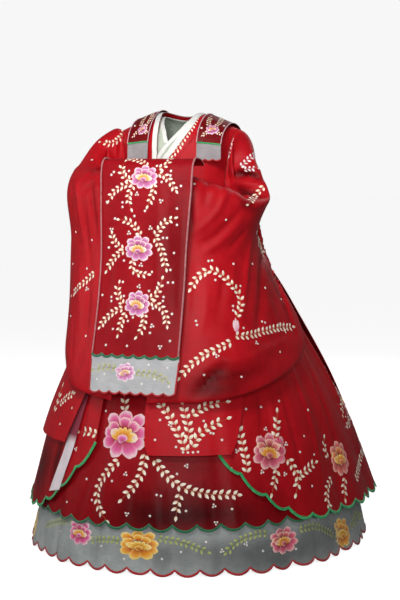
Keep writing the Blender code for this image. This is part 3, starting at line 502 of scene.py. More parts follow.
def over_shoulder(angle, level, stand_off):
    """A point of the upper body; above chest height, level runs over the shoulder to its seam."""
    angle, level, stand_off = np.broadcast_arrays(
        np.asarray(angle, float), np.asarray(level, float), np.asarray(stand_off, float)
    )
    low = form_point(angle, np.minimum(level, CHEST_HEIGHT), stand_off)
    climb = np.radians(90 * np.clip((level - CHEST_HEIGHT) / SHOULDER_ARC, 0, None))
    x = low[..., 0] * lerp(1, SHOULDER_SPREAD, np.sin(climb))
    y = lerp(low[..., 1], SEAM_Y, 1 - np.cos(climb))
    z = lerp(low[..., 2], shoulder_height(x) + stand_off, np.sin(climb))
    return stack(x, y, z)


def scalloped(edge, share, depth):
    """An edge with a rounded scallop cut into it for each whole share."""
    return edge + depth - depth * np.abs(np.sin(np.pi * (share % 1.0))) ** 0.8


# ---- grids of points, a row across the cloth for each step down it -----------------------


def steps(count):
    return np.linspace(0.0, 1.0, count + 1)


def skirt_grid(gap, hem):
    """A whole skirt from the chest band to its scalloped hem."""
    share = np.arange(SKIRT_SCALLOPS * LOBE_STEPS) / LOBE_STEPS
    angle = share * SKIRT_STEP
    edge = scalloped(hem, share, SKIRT_SCALLOP_DEPTH)
    height = lerp(WAISTBAND_TOP, edge[None, :], steps(SKIRT_ROWS)[:, None])
    angle = np.broadcast_to(angle, height.shape)
    return form_point(angle, height, gap(angle, height))


def no_gap(angle, height):
    return 0.0 * height


def overskirt_grid():
    along = np.arange(OVERSKIRT_COLUMNS * LOBE_STEPS + 1) / LOBE_STEPS
    corner = clamp(1 - np.minimum(along, OVERSKIRT_COLUMNS - along) * SKIRT_STEP / OVERSKIRT_CORNER)
    hem = OVERSKIRT_HEM + OVERSKIRT_RISE * corner**1.6
    edge = scalloped(hem, along, SKIRT_SCALLOP_DEPTH)
    height = lerp(WAISTBAND_TOP, edge[None, :], steps(SKIRT_ROWS)[:, None])
    angle = np.broadcast_to((OVERSKIRT_FIRST_COLUMN + along) * SKIRT_STEP, height.shape)
    return form_point(angle, height, overskirt_gap(angle, height))


def waistband_grid():
    angle = np.arange(SKIRT_SCALLOPS * 4) * SKIRT_STEP / 4
    height = lerp(WAISTBAND_TOP + 0.004, WAISTBAND_TOP - WAISTBAND_HEIGHT, steps(8))[:, None]
    height = np.broadcast_to(height, (9, len(angle)))
    angle = np.broadcast_to(angle, height.shape)
    return form_point(angle, height, overskirt_gap(angle, height) + TRIM_WALL + SEAM_GAP)


def tie_grid():
    t = steps(90)[:, None]
    across = np.linspace(-1, 1, 9)[None, :]
    height = lerp(TIE_ROUTE[-1][0], TIE_ROUTE[0][0], t)
    angle = column(TIE_ROUTE, 1)(height)
    half = np.degrees(TIE_WIDTH / 2 / form_side(height))
    lift = lerp(2 * (TRIM_WALL + SEAM_GAP) + 0.0010, TIE_LIFT, clamp(t * 5))
    lift = lift + 0.0016 * np.sin(9 * t + 1.4 * across) * clamp(t * 5 - 1)
    angle = angle + across * half
    height = height + 0.006 * across * t
    return form_point(angle, height, overskirt_gap(angle, height) + lift)


def panel_grid(edges, rows, columns, gap, top_of=None):
    """A panel from the shoulder seam to its table's lowest level, closer over the shoulder."""
    over = np.linspace(SHOULDER_SEAM, CHEST_HEIGHT, 20)
    level = np.concatenate((over, np.linspace(CHEST_HEIGHT, edges[0][0], rows)[1:]))[:, None]
    t = steps(columns)[None, :]
    angle = lerp(column(edges, 1)(level), column(edges, 2)(level), t)
    here = level + 0 * angle
    if top_of is not None:
        share = (level - CHEST_HEIGHT) / SHOULDER_ARC
        top = CHEST_HEIGHT + share * (top_of(angle) - CHEST_HEIGHT)
        here = np.where(level > CHEST_HEIGHT, top, here)
    return over_shoulder(angle, here, gap(angle, np.minimum(here, CHEST_HEIGHT)))


def back_top(angle):
    across = (over_shoulder(angle, SHOULDER_SEAM, 0.010)[..., 0] - NECK_SHIFT) / NECK_HALF_WIDTH
    return SHOULDER_SEAM - BACK_NECK_DIP * SHOULDER_ARC * np.sqrt(np.maximum(0.0, 1 - across**2))


def parted(grid):
    """The grid with its top row moved back by the width of the shoulder seam."""
    grid = grid.copy()
    grid[0, :, 1] += SHOULDER_PARTING
    return grid


def angle_after(inner, level, stand_off, distance):
    """The angle reached from inner by going round the front for each distance."""
    sign = 1.0 if max(distance) > 0 else -1.0
    angles = inner + sign * np.linspace(-4, 44, 193)
    points = over_shoulder(angles, level, stand_off)
    gone = np.concatenate(([0], np.cumsum(np.linalg.norm(np.diff(points, axis=0), axis=1))))
    gone -= np.interp(0.0, sign * (angles - inner), gone)
    return np.interp(np.abs(distance) * np.sign(np.array(distance) * sign), gone, angles)


def on_back(x, level, stand_off):
    reach = np.abs(over_shoulder(90.0, level, stand_off)[..., 0])
    return over_shoulder(180 - np.degrees(np.arcsin(np.clip(x / reach, -1, 1))), level, stand_off)


def front_collar(edges, levels, stand_off, shifts):
    """Rows of a collar along a panel's inner edge; stand_off and shifts depend on the level."""
    inner_at = column(edges, 1)
    rows = []
    for level in levels:
        inner, off = float(inner_at(level)), stand_off(level)
        rows.append(over_shoulder(angle_after(inner, level, off, shifts(level)), level, off))
    return rows


def nape_collar(turns, shifts, drops, off):
    """Rows of a collar behind the neck, at turns in degrees round it."""
    rows = []
    for phi in map(math.radians, turns):
        x = NECK_SHIFT + (NECK_HALF_WIDTH + shifts) * math.cos(phi)
        level = SHOULDER_SEAM - (BACK_NECK_DIP * SHOULDER_ARC + drops) * math.sin(phi)
        rows.append(on_back(x, level, off))
    return rows


def collar_grid(lift, shifts):
    """A collar from the right front up, round the nape and down the left front."""
    levels = np.concatenate((
        np.linspace(COLLAR_BOTTOM, COLLAR_BEND, 23),
        np.linspace(COLLAR_BEND, SHOULDER_SEAM, 21)[1:],
    ))
    right, left = (
        front_collar(
            edges, levels, lambda level: robe_side_gap(level) + lift,
            lambda level: side * shifts * lerp(
                wider, 1.0, clamp((level - COLLAR_EVENS) / COLLAR_EVENING)),
        )
        for side, wider, edges in COLLAR_FRONTS
    )
    # levels behind the neck are turned into distance along the cloth, which slopes there
    drop = over_shoulder(180, 1.385, 0.01) - over_shoulder(180, 1.375, 0.01)
    drops = shifts / (float(np.linalg.norm(drop)) / 0.010)
    off = robe_gap(180, CHEST_HEIGHT) + lift + NAPE_LIFT
    return np.array(right + nape_collar(range(165, 10, -5), shifts, drops, off) + left[::-1])


def jacket_collar_grid(side, name, edges, levels):
    return np.array(front_collar(
        edges, levels, lambda level: jacket_gap(name, level) + JACKET_COLLAR_LIFT,
        lambda level: side * JACKET_COLLAR_ACROSS * JACKET_COLLAR_WIDER,
    ))


def jacket_nape_grid():
    off = jacket_gap("back", SHOULDER_SEAM) + JACKET_COLLAR_LIFT
    across = JACKET_COLLAR_ACROSS
    rows = nape_collar(range(180, -1, -6), across, across, off)
    return np.array(rows) + (0, SHOULDER_PARTING, 0)


# ---- sleeves -----------------------------------------------------------------------------


def sheet_half(step, arm, drape):
    """Half a sleeve's thickness down its section, rounded off at both folded ends."""
    slack = clamp((step - 0.12) / 0.30)
    half = lerp(arm, drape, slack * slack * (3 - 2 * slack))
    top = arm * np.sqrt(clamp(1 - (1 - step / TOP_FOLD) ** 2))
    bottom = drape * np.sqrt(clamp(1 - ((step - BOTTOM_FOLD) / (1 - BOTTOM_FOLD)) ** 2))
    return np.where(step < TOP_FOLD, top, np.where(step > BOTTOM_FOLD, bottom, half))


def section_points(section, step):
    points = 0.0
    for number, stop in enumerate(SECTION_STOPS):
        weight = np.ones_like(step)
        for other in SECTION_STOPS:
            if other != stop:
                weight = weight * (step - other) / (stop - other)
        points = points + np.array(section[number])[None, :] * weight[:, None]
    return points


def facing_of(section, side):
    turn = math.radians(section[4])
    return np.array((side * math.sin(turn), -math.cos(turn), 0.0))


def ring_of(outer, inner):
    return np.concatenate((outer, inner[-2:0:-1]))


def sleeve_steps():
    """Steps down a sleeve section, closer together round its two folded ends."""
    turn = np.linspace(0, math.pi / 2, 9)
    top, bottom = TOP_FOLD * (1 - np.cos(turn)), lerp(BOTTOM_FOLD, 1, np.sin(turn))
    return np.concatenate((top, np.linspace(TOP_FOLD, BOTTOM_FOLD, 60)[1:-1], bottom))


def sleeve_ring(section, side, at):
    middle = section_points(section, at)
    half = facing_of(section, side)[None, :] * sheet_half(at, section[5], section[6])[:, None]
    return ring_of(middle + half, middle - half)


def armhole_ring(at, side, bottom, edges, front_gap, back_gap):
    front_edge, back_edge = (side * edge for edge in edges)
    level = lerp(SHOULDER_SEAM, bottom, at)
    close = clamp((at - 0.84) / 0.16) ** 2
    back, front = back_gap(level), front_gap(level)
    ends = np.maximum(clamp(1 - at / 0.02), clamp((at - 0.97) / 0.03))
    widest = np.maximum(back, front)
    back, front = lerp(back, widest, ends), lerp(front, widest, ends)
    nudge = side * SHOULDER_NUDGE * clamp(1 - at / 0.03)
    outer = over_shoulder(lerp(back_edge - nudge, side * 90, close), level, back)
    inner = over_shoulder(lerp(front_edge + nudge, side * 90, close), level, front)
    return ring_of(outer, inner)


def through(rings, count):
    """count rings spaced along a smooth run through the given ones."""
    rings = np.array(rings)
    last = len(rings) - 1
    place = np.linspace(0, last, count)
    low = np.minimum(place.astype(int), last - 1)
    u = (place - low)[:, None, None]
    a, b = rings[np.maximum(low - 1, 0)], rings[low]
    c, d = rings[low + 1], rings[np.minimum(low + 2, last)]
    return 0.5 * (
        2 * b + (c - a) * u + (2 * a - 5 * b + 4 * c - d) * u**2 + (3 * b - a - 3 * c + d) * u**3
    )


def arm_ring(section, arm, side, at):
    spans = [np.array(section[n + 1]) - np.array(section[n]) for n in range(3)]
    length = sum(np.linalg.norm(span) for span in spans)
    radius, tuck = arm
    below = ARM_DROP + radius * (1 - np.cos(np.pi * at))
    middle = section_points(section, below / length) - np.array((side * tuck, 0, 0))
    half = facing_of(section, side)[None, :] * (radius * np.sin(np.pi * at))[:, None]
    return ring_of(middle + half, middle - half)


def robe_sleeve_grid(side, table):
    at = sleeve_steps()
    start = armhole_ring(at, side, ARMHOLE_BOTTOM, ARMHOLE_EDGES, robe_side_gap, robe_side_gap)
    return through([start] + [sleeve_ring(section, side, at) for section in table],
                   ROBE_SLEEVE_RINGS)


def jacket_sleeve_grid(side, name, table):
    at = steps(20)
    start = armhole_ring(
        at, side, JACKET_ARMHOLE_BOTTOM, JACKET_ARMHOLE_EDGES,
        lambda level: jacket_gap(name, level), lambda level: jacket_gap("back", level),
    )
    arms = [arm_ring(section, arm, side, at) for section, arm in zip(table, ARM_SECTIONS)]
    return through([start] + arms, JACKET_SLEEVE_RINGS)


# ---- front cloth and shoulder ribbons ----------------------------------------------------

FALL = np.array(CLOTH_FALL)
FALL_ALONG = np.concatenate(([0], np.cumsum(np.hypot(np.diff(FALL[:, 0]), np.diff(FALL[:, 1])))))
fall_y, fall_height, fall_half = (smooth(FALL_ALONG, FALL[:, n]) for n in range(3))
CLOTH_TURN_AT = FALL_ALONG[CLOTH_TURN]
CLOTH_END_AT = FALL_ALONG[-1] - 0.001


def cloth_point(across, along, lift):
    """A point of the front cloth: across runs from -1 to 1, lift stands out from its face."""
    run_y = fall_y(along + 0.002) - fall_y(along - 0.002)
    run_z = fall_height(along + 0.002) - fall_height(along - 0.002)
    length = np.hypot(run_y, run_z)
    x = across * fall_half(along)
    crown = CLOTH_CROWN * x * x * clamp((along - 0.08) / 0.10)
    y = fall_y(along) + lift * run_z / length + crown
    return stack(CLOTH_CENTRE + x, y, fall_height(along) - lift * run_y / length)


def front_cloth_grid(start, stop, lift, rows, lobe_steps=LOBE_STEPS):
    share = np.arange(CLOTH_SCALLOPS * lobe_steps + 1) / lobe_steps
    across = lerp(-1, 1, share / CLOTH_SCALLOPS)[None, :]
    edge = scalloped(stop, share, -CLOTH_SCALLOP_DEPTH)
    along = lerp(start, edge[None, :], steps(rows)[:, None])
    return cloth_point(across + 0 * along, along, lift)


def piping_grid(side):
    along = np.linspace(0.003, CLOTH_TURN_AT - CLOTH_SCALLOP_DEPTH - 0.001, 120)[:, None]
    turn = np.linspace(0, 2 * math.pi, 12, endpoint=False)[None, :]
    middle = PIPING_WIDTH / 2
    back = (middle + middle * np.cos(turn)) / fall_half(along)
    lift = 0.0002 + 0.0021 * (1 + np.sin(turn))
    return cloth_point(side * (1 - back), along + 0 * turn, lift)


def ribbon_point(x, level, back, lift):
    stand_off = robe_side_gap(level) + lift
    held = np.clip(x, -RIBBON_FLAT_FROM, RIBBON_FLAT_FROM)
    reach = np.abs(over_shoulder(90.0, level, stand_off)[..., 0])
    angle = np.degrees(np.arcsin(held / reach))
    point = over_shoulder(np.where(back, 180 - angle, angle), level, stand_off)
    climb = clamp((level - CHEST_HEIGHT) / SHOULDER_ARC)
    drop = (shoulder_height(x) - shoulder_height(held)) * np.sin(np.radians(90 * climb))
    return stack(x, point[..., 1], point[..., 2] + drop)


RIBBON_LIFT = 2 * COLLAR_LIFT + NAPE_LIFT + TRIM_WALL + 0.0033


def ribbon_grid(name):
    middle, front, back = RIBBONS[name]
    down = np.linspace(SHOULDER_SEAM, front + RIBBON_END, 50)
    up = np.linspace(back, SHOULDER_SEAM, 60)[:-1]
    level = np.concatenate((up, down))[:, None]
    behind = np.concatenate((np.ones(len(up), bool), np.zeros(len(down), bool)))[:, None]
    x = middle + np.linspace(-RIBBON_HALF_WIDTH, RIBBON_HALF_WIDTH, 17)[None, :]
    level, behind, x = np.broadcast_arrays(level, behind, x)
    return ribbon_point(x, level, behind, RIBBON_LIFT)


def ribbon_end_grid(name):
    middle, front, _ = RIBBONS[name]
    share = np.arange(RIBBON_SCALLOPS * LOBE_STEPS + 1) / LOBE_STEPS
    x = middle + RIBBON_HALF_WIDTH * lerp(-1, 1, share / RIBBON_SCALLOPS)
    edge = scalloped(front, share, RIBBON_SCALLOP_DEPTH)
    level = lerp(front + RIBBON_END + 0.010, edge[None, :], steps(10)[:, None])
    x = np.broadcast_to(x, level.shape)
    return ribbon_point(x, level, False, RIBBON_LIFT - TRIM_WALL - SEAM_GAP)


# ---- cloth pieces ------------------------------------------------------------------------

FLOOR = np.array((0.0, 0.0, -SHOULDER_HEIGHT))
# how far from the camera a line of sight is searched where it misses the cloth
SIGHT = np.linspace(4.2, 5.6, 57)
# spacing of the points of a line on the cloth
LINE_STEP = 0.004
# how much painted shade a crease puts into the colour, for each metre of its depth
CREASE_PAINTED_SHADE = 16.0


def unit(vectors):
    length = np.linalg.norm(vectors, axis=-1, keepdims=True)
    return vectors / np.maximum(length, 1e-12)


def body_axis(grid):
    height = grid[..., 2].mean(axis=1, keepdims=True)
    return stack(0, (form_back(height) - form_front(height)) / 2, height)


def own_axis(grid):
    return grid.mean(axis=1, keepdims=True)


def quads(rows, columns, ring, first=0):
    j, i = np.meshgrid(np.arange(rows - 1), np.arange(columns - (0 if ring else 1)), indexing="ij")
    after = (i + 1) % columns
    faces = (j * columns + i, j * columns + after, (j + 1) * columns + after, (j + 1) * columns + i)
    return np.stack([face.ravel() for face in faces], axis=1) + first


class Sheet:
    """One cloth piece: its outer points and normals, and a tree for laying things on it."""

    def __init__(self, name, grid, ring=False, axis=body_axis):
        self.name, self.ring = name, ring
        inside = np.array(axis, float) if isinstance(axis, tuple) else axis(grid)
        self.points = grid + FLOOR
        # painted shade: a share of the colour at each point, lowered in creases and along listed lines
        self.tone = np.ones(grid.shape[:2])
        self.sign = 1.0
        if (self.normals() * (grid - inside)).sum() <= 0:
            self.sign = -1.0
        self.settle()

    def normals(self):
        p = self.points
        down = np.gradient(p, axis=0)
        if self.ring:
            across = (np.roll(p, -1, axis=1) - np.roll(p, 1, axis=1)) / 2
        else:
            across = np.gradient(p, axis=1)
        return self.sign * unit(np.cross(across, down))

    def settle(self):
        rows, columns = self.points.shape[:2]
        self.faces = quads(rows, columns, self.ring)
        if self.sign < 0:
            self.faces = self.faces[:, ::-1]
        flat = self.points.reshape(-1, 3)
        self.tree = BVHTree.FromPolygons(flat.tolist(), self.faces.tolist())

    def at(self, across, down):
        """The point at a share of the way across and down the sheet."""
        rows, columns = self.points.shape[:2]
        i = int(round(across * (columns - 1))) % columns
        return self.points[int(round(down * (rows - 1))), i]

    def seen(self, x, y):
        """The point of the sheet at a place in the frame, or the nearest one to that line."""
        eye, direction = view_ray(x, y)
        hit = self.tree.ray_cast(eye, direction)[0]
        if hit is not None:
            return np.array(hit)
        found = [self.tree.find_nearest(eye + direction * far) for far in SIGHT]
        return np.array(min(found, key=lambda place: place[3])[0])

    def seen_line(self, places):
        return resampled(np.array([self.seen(x, y) for x, y in rounded(places)]), LINE_STEP)

    def lay(self, points, lift):
        """Points moved onto the sheet and lifted off it; also the sheet's normals there."""
        points = np.asarray(points, float)
        flat = points.reshape(-1, 3)
        lift = np.broadcast_to(lift, points.shape[:-1]).ravel()
        placed, facing = np.empty_like(flat), np.empty_like(flat)
        for n, point in enumerate(flat):
            place, normal, _, _ = self.tree.find_nearest(Vector(point))
            placed[n], facing[n] = place, normal
        placed += facing * lift[:, None]
        return placed.reshape(points.shape), facing.reshape(points.shape)

    def share_near(self, line, width):
        """How strongly a line is felt at each point of the sheet, fading out to its ends."""
        line = line[::3]
        facing = np.array([self.tree.find_nearest(Vector(point))[1] for point in line])
        normals = self.normals()
        flat, flat_normals = self.points.reshape(-1, 3), normals.reshape(-1, 3)
        near = np.linalg.norm(flat[:, None, :] - line[None, :, :], axis=2)
        gap, nearest = near.min(axis=1), near.argmin(axis=1)
        along = nearest / max(1, len(line) - 1)
        taper = np.sin(np.pi * (0.06 + 0.88 * along)) ** 0.6
        agree = clamp((flat_normals * facing[nearest]).sum(axis=1) * 2.0 - 0.4)
        felt = np.exp(-((gap / width) ** 2)) * taper * agree
        return felt.reshape(self.points.shape[:2])

    def crease(self, line, width, depth):
        """Presses a soft trough with painted shade along a line of points; depth below 0 raises a ridge."""
        felt = self.share_near(line, width)
        self.points = self.points - self.normals() * (depth * felt)[..., None]
        # painted shade: the colour darkens along a trough, more as it is deeper
        self.tone *= 1 - clamp(CREASE_PAINTED_SHADE * depth) * felt

    def dim(self, line, width, share):
        """Deepens the colour along a line as painted shade."""
        self.tone *= 1 - share * self.share_near(line, width)


def rounded(places):
    """A polyline with its corners cut twice, so that it runs smoothly."""
    line = np.array(places, float)
    for _ in range(2 if len(line) > 2 else 0):
        a, b = line[:-1], line[1:]
        cut = np.stack((0.75 * a + 0.25 * b, 0.25 * a + 0.75 * b), axis=1)
        line = np.concatenate((line[:1], cut.reshape(-1, line.shape[1])[1:-1], line[-1:]))
    return line


def resampled(line, step):
    """The same line with points a step apart."""
    gone = np.concatenate(([0], np.cumsum(np.linalg.norm(np.diff(line, axis=0), axis=1))))
    count = max(2, int(round(gone[-1] / step)) + 1)
    at = np.linspace(0, gone[-1], count)
    return np.stack([np.interp(at, gone, line[:, k]) for k in range(line.shape[1])], axis=1)


def new_object(name, points, faces, uvs, material, colours=None, layer_name="thread"):
    """A smooth mesh object; uvs and colours have a row for each point."""
    mesh = bpy.data.meshes.new(name)
    mesh.from_pydata(points.tolist(), [], [list(face) for face in faces])
    loops = np.empty(len(mesh.loops), int)
    mesh.loops.foreach_get("vertex_index", loops)
    layer = mesh.uv_layers.new(name="cloth")
    layer.data.foreach_set("uv", uvs[loops].astype(np.float32).ravel())
    if colours is not None:
        attribute = mesh.color_attributes.new(layer_name, "FLOAT_COLOR", "POINT")
        rgba = np.concatenate((colours, np.ones((len(colours), 1))), axis=1)
        attribute.data.foreach_set("color", rgba.astype(np.float32).ravel())
    mesh.materials.append(material)
    mesh.shade_smooth()
    mesh.set_sharp_from_angle(angle=math.radians(50))
    made = bpy.data.objects.new(name, mesh)
    bpy.context.scene.collection.objects.link(made)
    return made


def cloth_uv(points, ring):
    """Distances along and across the cloth in metres, so that its weave keeps one scale."""
    across = np.linalg.norm(np.diff(points, axis=1), axis=2)
    down = np.linalg.norm(np.diff(points, axis=0), axis=2)
    u = np.concatenate((np.zeros((len(points), 1)), np.cumsum(across, axis=1)), axis=1)
    v = np.concatenate((np.zeros((1, points.shape[1])), np.cumsum(down, axis=0)), axis=0)
    middle = u[:, u.shape[1] // 2][:, None] if not ring else 0.0
    return np.stack((u - middle, v), axis=-1).reshape(-1, 2)


def make_cloth(sheet, cloth, replaced, held, rests_on, fullness=1.0):
    """The sheet as a closed thin shell, riding on the frame in place of its CAD node."""
    wall, material, slot = cloth
    normals = sheet.normals()
    rows, columns = sheet.points.shape[:2]
    outer = sheet.points.reshape(-1, 3)
    inner = (sheet.points - normals * wall).reshape(-1, 3)
    count = len(outer)
    faces = [sheet.faces, sheet.faces[:, ::-1] + count]
    top, bottom = np.arange(columns), (rows - 1) * columns + np.arange(columns)[::-1]
    if sheet.ring:
        loops = [np.append(edge, edge[0]) for edge in (top, bottom)]
    else:
        left = (np.arange(rows) * columns)[::-1]
        right = left[::-1] + columns - 1
        loops = [np.concatenate((top[:-1], right[:-1], bottom[:-1], left))]
    for loop in loops:
        rim = np.stack((loop[1:], loop[:-1], loop[:-1] + count, loop[1:] + count), axis=1)
        faces.append(rim if sheet.sign > 0 else rim[:, ::-1])
    uv = cloth_uv(sheet.points, sheet.ring)
    points = np.concatenate((outer, inner))
    # painted shade of the sheet, as a colour on the points of both faces
    tone = np.tile(sheet.tone.reshape(-1, 1), (2, 3))
    made = new_object(sheet.name, points, np.concatenate(faces), np.concatenate((uv, uv)), material,
                      tone, "tone")
    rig.replaces(made, replaced)
    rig.slot(made, slot)
    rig.ride(made, "root")
    a, b, c, d = (outer[sheet.faces[:, k]] for k in range(4))
    area = np.linalg.norm(np.cross(c - a, d - b), axis=1).sum() / 2 * fullness
    across = np.linalg.norm(np.diff(sheet.points, axis=1), axis=2).sum(axis=1).max()
    down = np.linalg.norm(np.diff(sheet.points, axis=0), axis=2).sum(axis=0).max()
    width = max(across, area / down * 1.02)
    SHEETS[sheet.name] = {
        "piece": made, "flat": (round(float(width), 3), round(float(down), 3)),
        "area": float(area), "held": held, "rests_on": rests_on, "with": [],
    }


SHEETS = {}


def declare_sheets():
    """States each sheet of cloth, its cut, how it is held and what is sewn on it."""
    for name, facts in SHEETS.items():
        width, length = facts["flat"]
        area = min(facts["area"], width * length)
        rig.sheet(
            facts["piece"], flat=(width, length), area=area, held=facts["held"],
            rests_on=facts["rests_on"], with_pieces=facts["with"],
        )
        print(f"cut {name}: {width:.3f} x {length:.3f} m, {area:.3f} m2")


# ---- embroidery and bound edges ----------------------------------------------------------


def rgb(red, green, blue):
    """A linear colour from screen values of 0 to 255."""
    value = np.array((red, green, blue)) / 255
    return np.where(value <= 0.04045, value / 12.92, ((value + 0.055) / 1.055) ** 2.4)


# from pair to pair and across, in leaf lengths; then the pairs' lean off the stem in degrees
LEAF_SPACING = 1.10
LEAF_WIDTH = 0.54
LEAF_LEAN = 47
BOUQUET_LEAF = 0.0155
STEM_WIDTH = 0.0011
# a face is left out where a point of it had to move further than this to lie on the cloth
OFF_THE_CLOTH = 0.018
DOT_RADIUS = 0.0040
DOT_COLOUR = rgb(248, 240, 232)
# height above the cloth of a flower's first layer and of each one over it
PETAL_LIFT, LAYER_LIFT = 0.0006, 0.0007


class Stitching:
    """The raised threads on one sheet: leaves, stems, dots and flowers, as one mesh."""

    def __init__(self, sheet):
        self.sheet = sheet
        self.points, self.colours, self.uvs, self.faces = [], [], [], []
        self.count = 0

    def patch(self, points, lift, colours, uvs):
        """A grid of points laid on the sheet."""
        placed, _ = self.sheet.lay(points, lift)
        rows, columns = points.shape[:2]
        beyond = np.linalg.norm(placed - points, axis=2).ravel() > OFF_THE_CLOTH
        row, column = rows // 2, columns // 2
        across, down = points[row, -1] - points[row, 0], points[-1, column] - points[0, column]
        _, normal, _, _ = self.sheet.tree.find_nearest(Vector(points[row, column]))
        faces = quads(rows, columns, False, self.count)
        if np.dot(np.cross(across, down), normal) < 0:
            faces = faces[:, ::-1]
        faces = faces[~beyond[faces - self.count].any(axis=1)]
        self.points.append(placed.reshape(-1, 3))
        self.colours.append(np.broadcast_to(colours, points.shape).reshape(-1, 3))
        self.uvs.append(np.broadcast_to(uvs, points.shape[:2] + (2,)).reshape(-1, 2))
        self.faces.append(faces)
        self.count += rows * columns

    def leaf(self, base, ahead, side, length, width, inner, outer):
        """A pointed leaf from its base, raised along the middle."""
        a = np.linspace(0, 1, 6)[:, None]
        b = np.array((-1.0, 0.0, 1.0))[None, :]
        half = width / 2 * np.sin(np.pi * a**0.85) ** 0.85
        points = base + ahead * (a * length)[..., None] + side * (b * half)[..., None]
        lift = 0.0005 + 0.0010 * np.sin(np.pi * a) * (1 - b * b)
        shade = clamp(0.25 + 1.3 * a + 0.30 * b)[..., None]
        uvs = np.stack(np.broadcast_arrays(a * length, b * half), axis=-1)
        self.patch(points, lift, lerp(inner, outer, shade), uvs)

    def stem(self, line, colour):
        ahead = unit(np.gradient(line, axis=0))
        _, normals = self.sheet.lay(line, 0.0)
        side = unit(np.cross(normals, ahead))
        b = np.array((-1.0, 0.0, 1.0))
        across = b * STEM_WIDTH / 2
        points = line[:, None, :] + side[:, None, :] * across[None, :, None]
        lift = np.array((0.0003, 0.0011, 0.0003))[None, :]
        along = np.arange(len(line))[:, None] * LINE_STEP
        uvs = np.stack(np.broadcast_arrays(along, across[None, :]), axis=-1)
        self.patch(points, lift, colour, uvs)

    def dot(self, place, radius):
        spot = Spot(self.sheet, place)
        a = np.array((0.02, 0.55, 1.0))[:, None]
        b = np.linspace(0, 2 * math.pi, 9)[None, :]
        points = spot.reach(radius * a * np.cos(b), radius * a * np.sin(b))
        lift = np.broadcast_to(0.0004 + 0.0016 * np.sqrt(1 - (0.98 * a) ** 2), points.shape[:2])
        shade = lerp(DOT_COLOUR, DOT_COLOUR * 0.8, a[..., None])
        uvs = np.stack(np.broadcast_arrays(a * radius, b * 0.002), axis=-1)
        self.patch(points, lift, shade, uvs)

    def dots(self, place, count=1):
        """One dot, or a small bunch of smaller ones round a place."""
        if count == 1:
            self.dot(place, DOT_RADIUS)
            return
        spot = Spot(self.sheet, place)
        for n in range(count):
            phi = 0.5 + 2 * math.pi * n / count + 90 * spot.centre[0]
            x, y = 1.15 * DOT_RADIUS * math.cos(phi), 1.15 * DOT_RADIUS * math.sin(phi)
            self.dot(spot.reach(x, y), DOT_RADIUS * 0.80)

    def spray(self, line, leaf, look="cream"):
        """Pairs of leaves along a stem, pointing the way that it grows, and one at its tip."""
        inner, outer, stem = (rgb(*colour) for colour in LEAF_LOOKS[look])
        self.stem(line, stem)
        line = resampled(line, 0.001)
        ahead = unit(np.gradient(line, axis=0))
        _, normals = self.sheet.lay(line[::8], 0.0)
        length = (len(line) - 1) * 0.001
        pairs = max(1, int(round((length - 0.25 * leaf) / (LEAF_SPACING * leaf))))
        for n in range(pairs):
            index = min(len(line) - 1, int((0.2 * leaf + n * LEAF_SPACING * leaf) * 1000))
            normal = normals[min(len(normals) - 1, index // 8)]
            forward = ahead[index]
            side = unit(np.cross(normal, forward))
            for which in (-1, 1):
                uneven = 1 + 0.10 * math.sin(7.3 * n + 2.1 * which + 90 * line[0][0])
                tilt = math.radians(LEAF_LEAN) * (1 + 0.14 * math.sin(4.1 * n + which))
                way = forward * math.cos(tilt) + side * (which * math.sin(tilt))
                base = line[index] + side * which * 0.0009 + forward * (0.0018 * which)
                across = unit(np.cross(normal, way))
                self.leaf(base, way, across, leaf * uneven, leaf * LEAF_WIDTH, inner, outer)
        normal, forward = normals[-1], ahead[-1]
        across = unit(np.cross(normal, forward))
        self.leaf(line[-1], forward, across, leaf, leaf * LEAF_WIDTH, inner, outer)

    def petal(self, spot, middle_at, phi, start, reach, width, lift, shades, tall):
        """One round petal; middle_at is where it grows from, shades its root, middle and rim."""
        root, middle, rim = (rgb(*colour) for colour in shades)
        a = np.array((0.0, 0.14, 0.30, 0.46, 0.62, 0.76, 0.87, 0.94, 1.0))[:, None]
        b = np.linspace(-1, 1, 11)[None, :]
        round_end = 1 - 0.46 * (1 - np.sqrt(1 - 0.96 * b**2)) + 0.022 * np.cos(7 * b + 3 * phi)
        along = start + (reach - start) * a * round_end
        across = width * b * np.sin(0.5 * math.pi * clamp(a * 1.15) ** 0.60)
        x = middle_at[0] + along * math.cos(phi) - across * math.sin(phi)
        y = (middle_at[1] + along * math.sin(phi) + across * math.cos(phi)) * tall
        raised = lift + 0.0013 * np.sin(np.pi * clamp(a * 0.9)) * (1 - 0.6 * b**2)
        raised = raised - 0.0006 * (a > 0.99)
        blend = lerp(root, middle, clamp((a - 0.10) / 0.52)[..., None])
        beside = clamp((np.abs(b) - 0.76) / 0.2) * clamp(a * 2.0)
        edge = np.maximum(clamp((a - 0.70) / 0.20), beside)
        colours = lerp(blend, rim, edge[..., None])
        vein = 1 - 0.16 * (np.abs(np.sin(6 * b + phi)) ** 3 * (1 - a))[..., None]
        uvs = np.stack(np.broadcast_arrays(along, across), axis=-1)
        self.patch(spot.reach(x, y), raised, colours * vein, uvs)

    def peony(self, spot, radius, look, turn, tall=1.0):
        """A full flower seen a little from below: round petals, a gold fan and a pink cup."""
        cosine, sine = math.cos(turn), math.sin(turn)
        for layer, (kind, (x, y), petals) in enumerate(PEONY):
            middle_at = (radius * (x * cosine - y * sine), radius * (x * sine + y * cosine))
            for n, (angle, start, reach, width) in enumerate(petals):
                uneven = 1 + 0.04 * math.sin(5.1 * n + 90 * spot.centre[0])
                self.petal(spot, middle_at, math.radians(angle) + turn, start * radius,
                           reach * radius * uneven, width * radius,
                           PETAL_LIFT + LAYER_LIFT * layer, FLOWER_LOOKS[look][kind], tall)

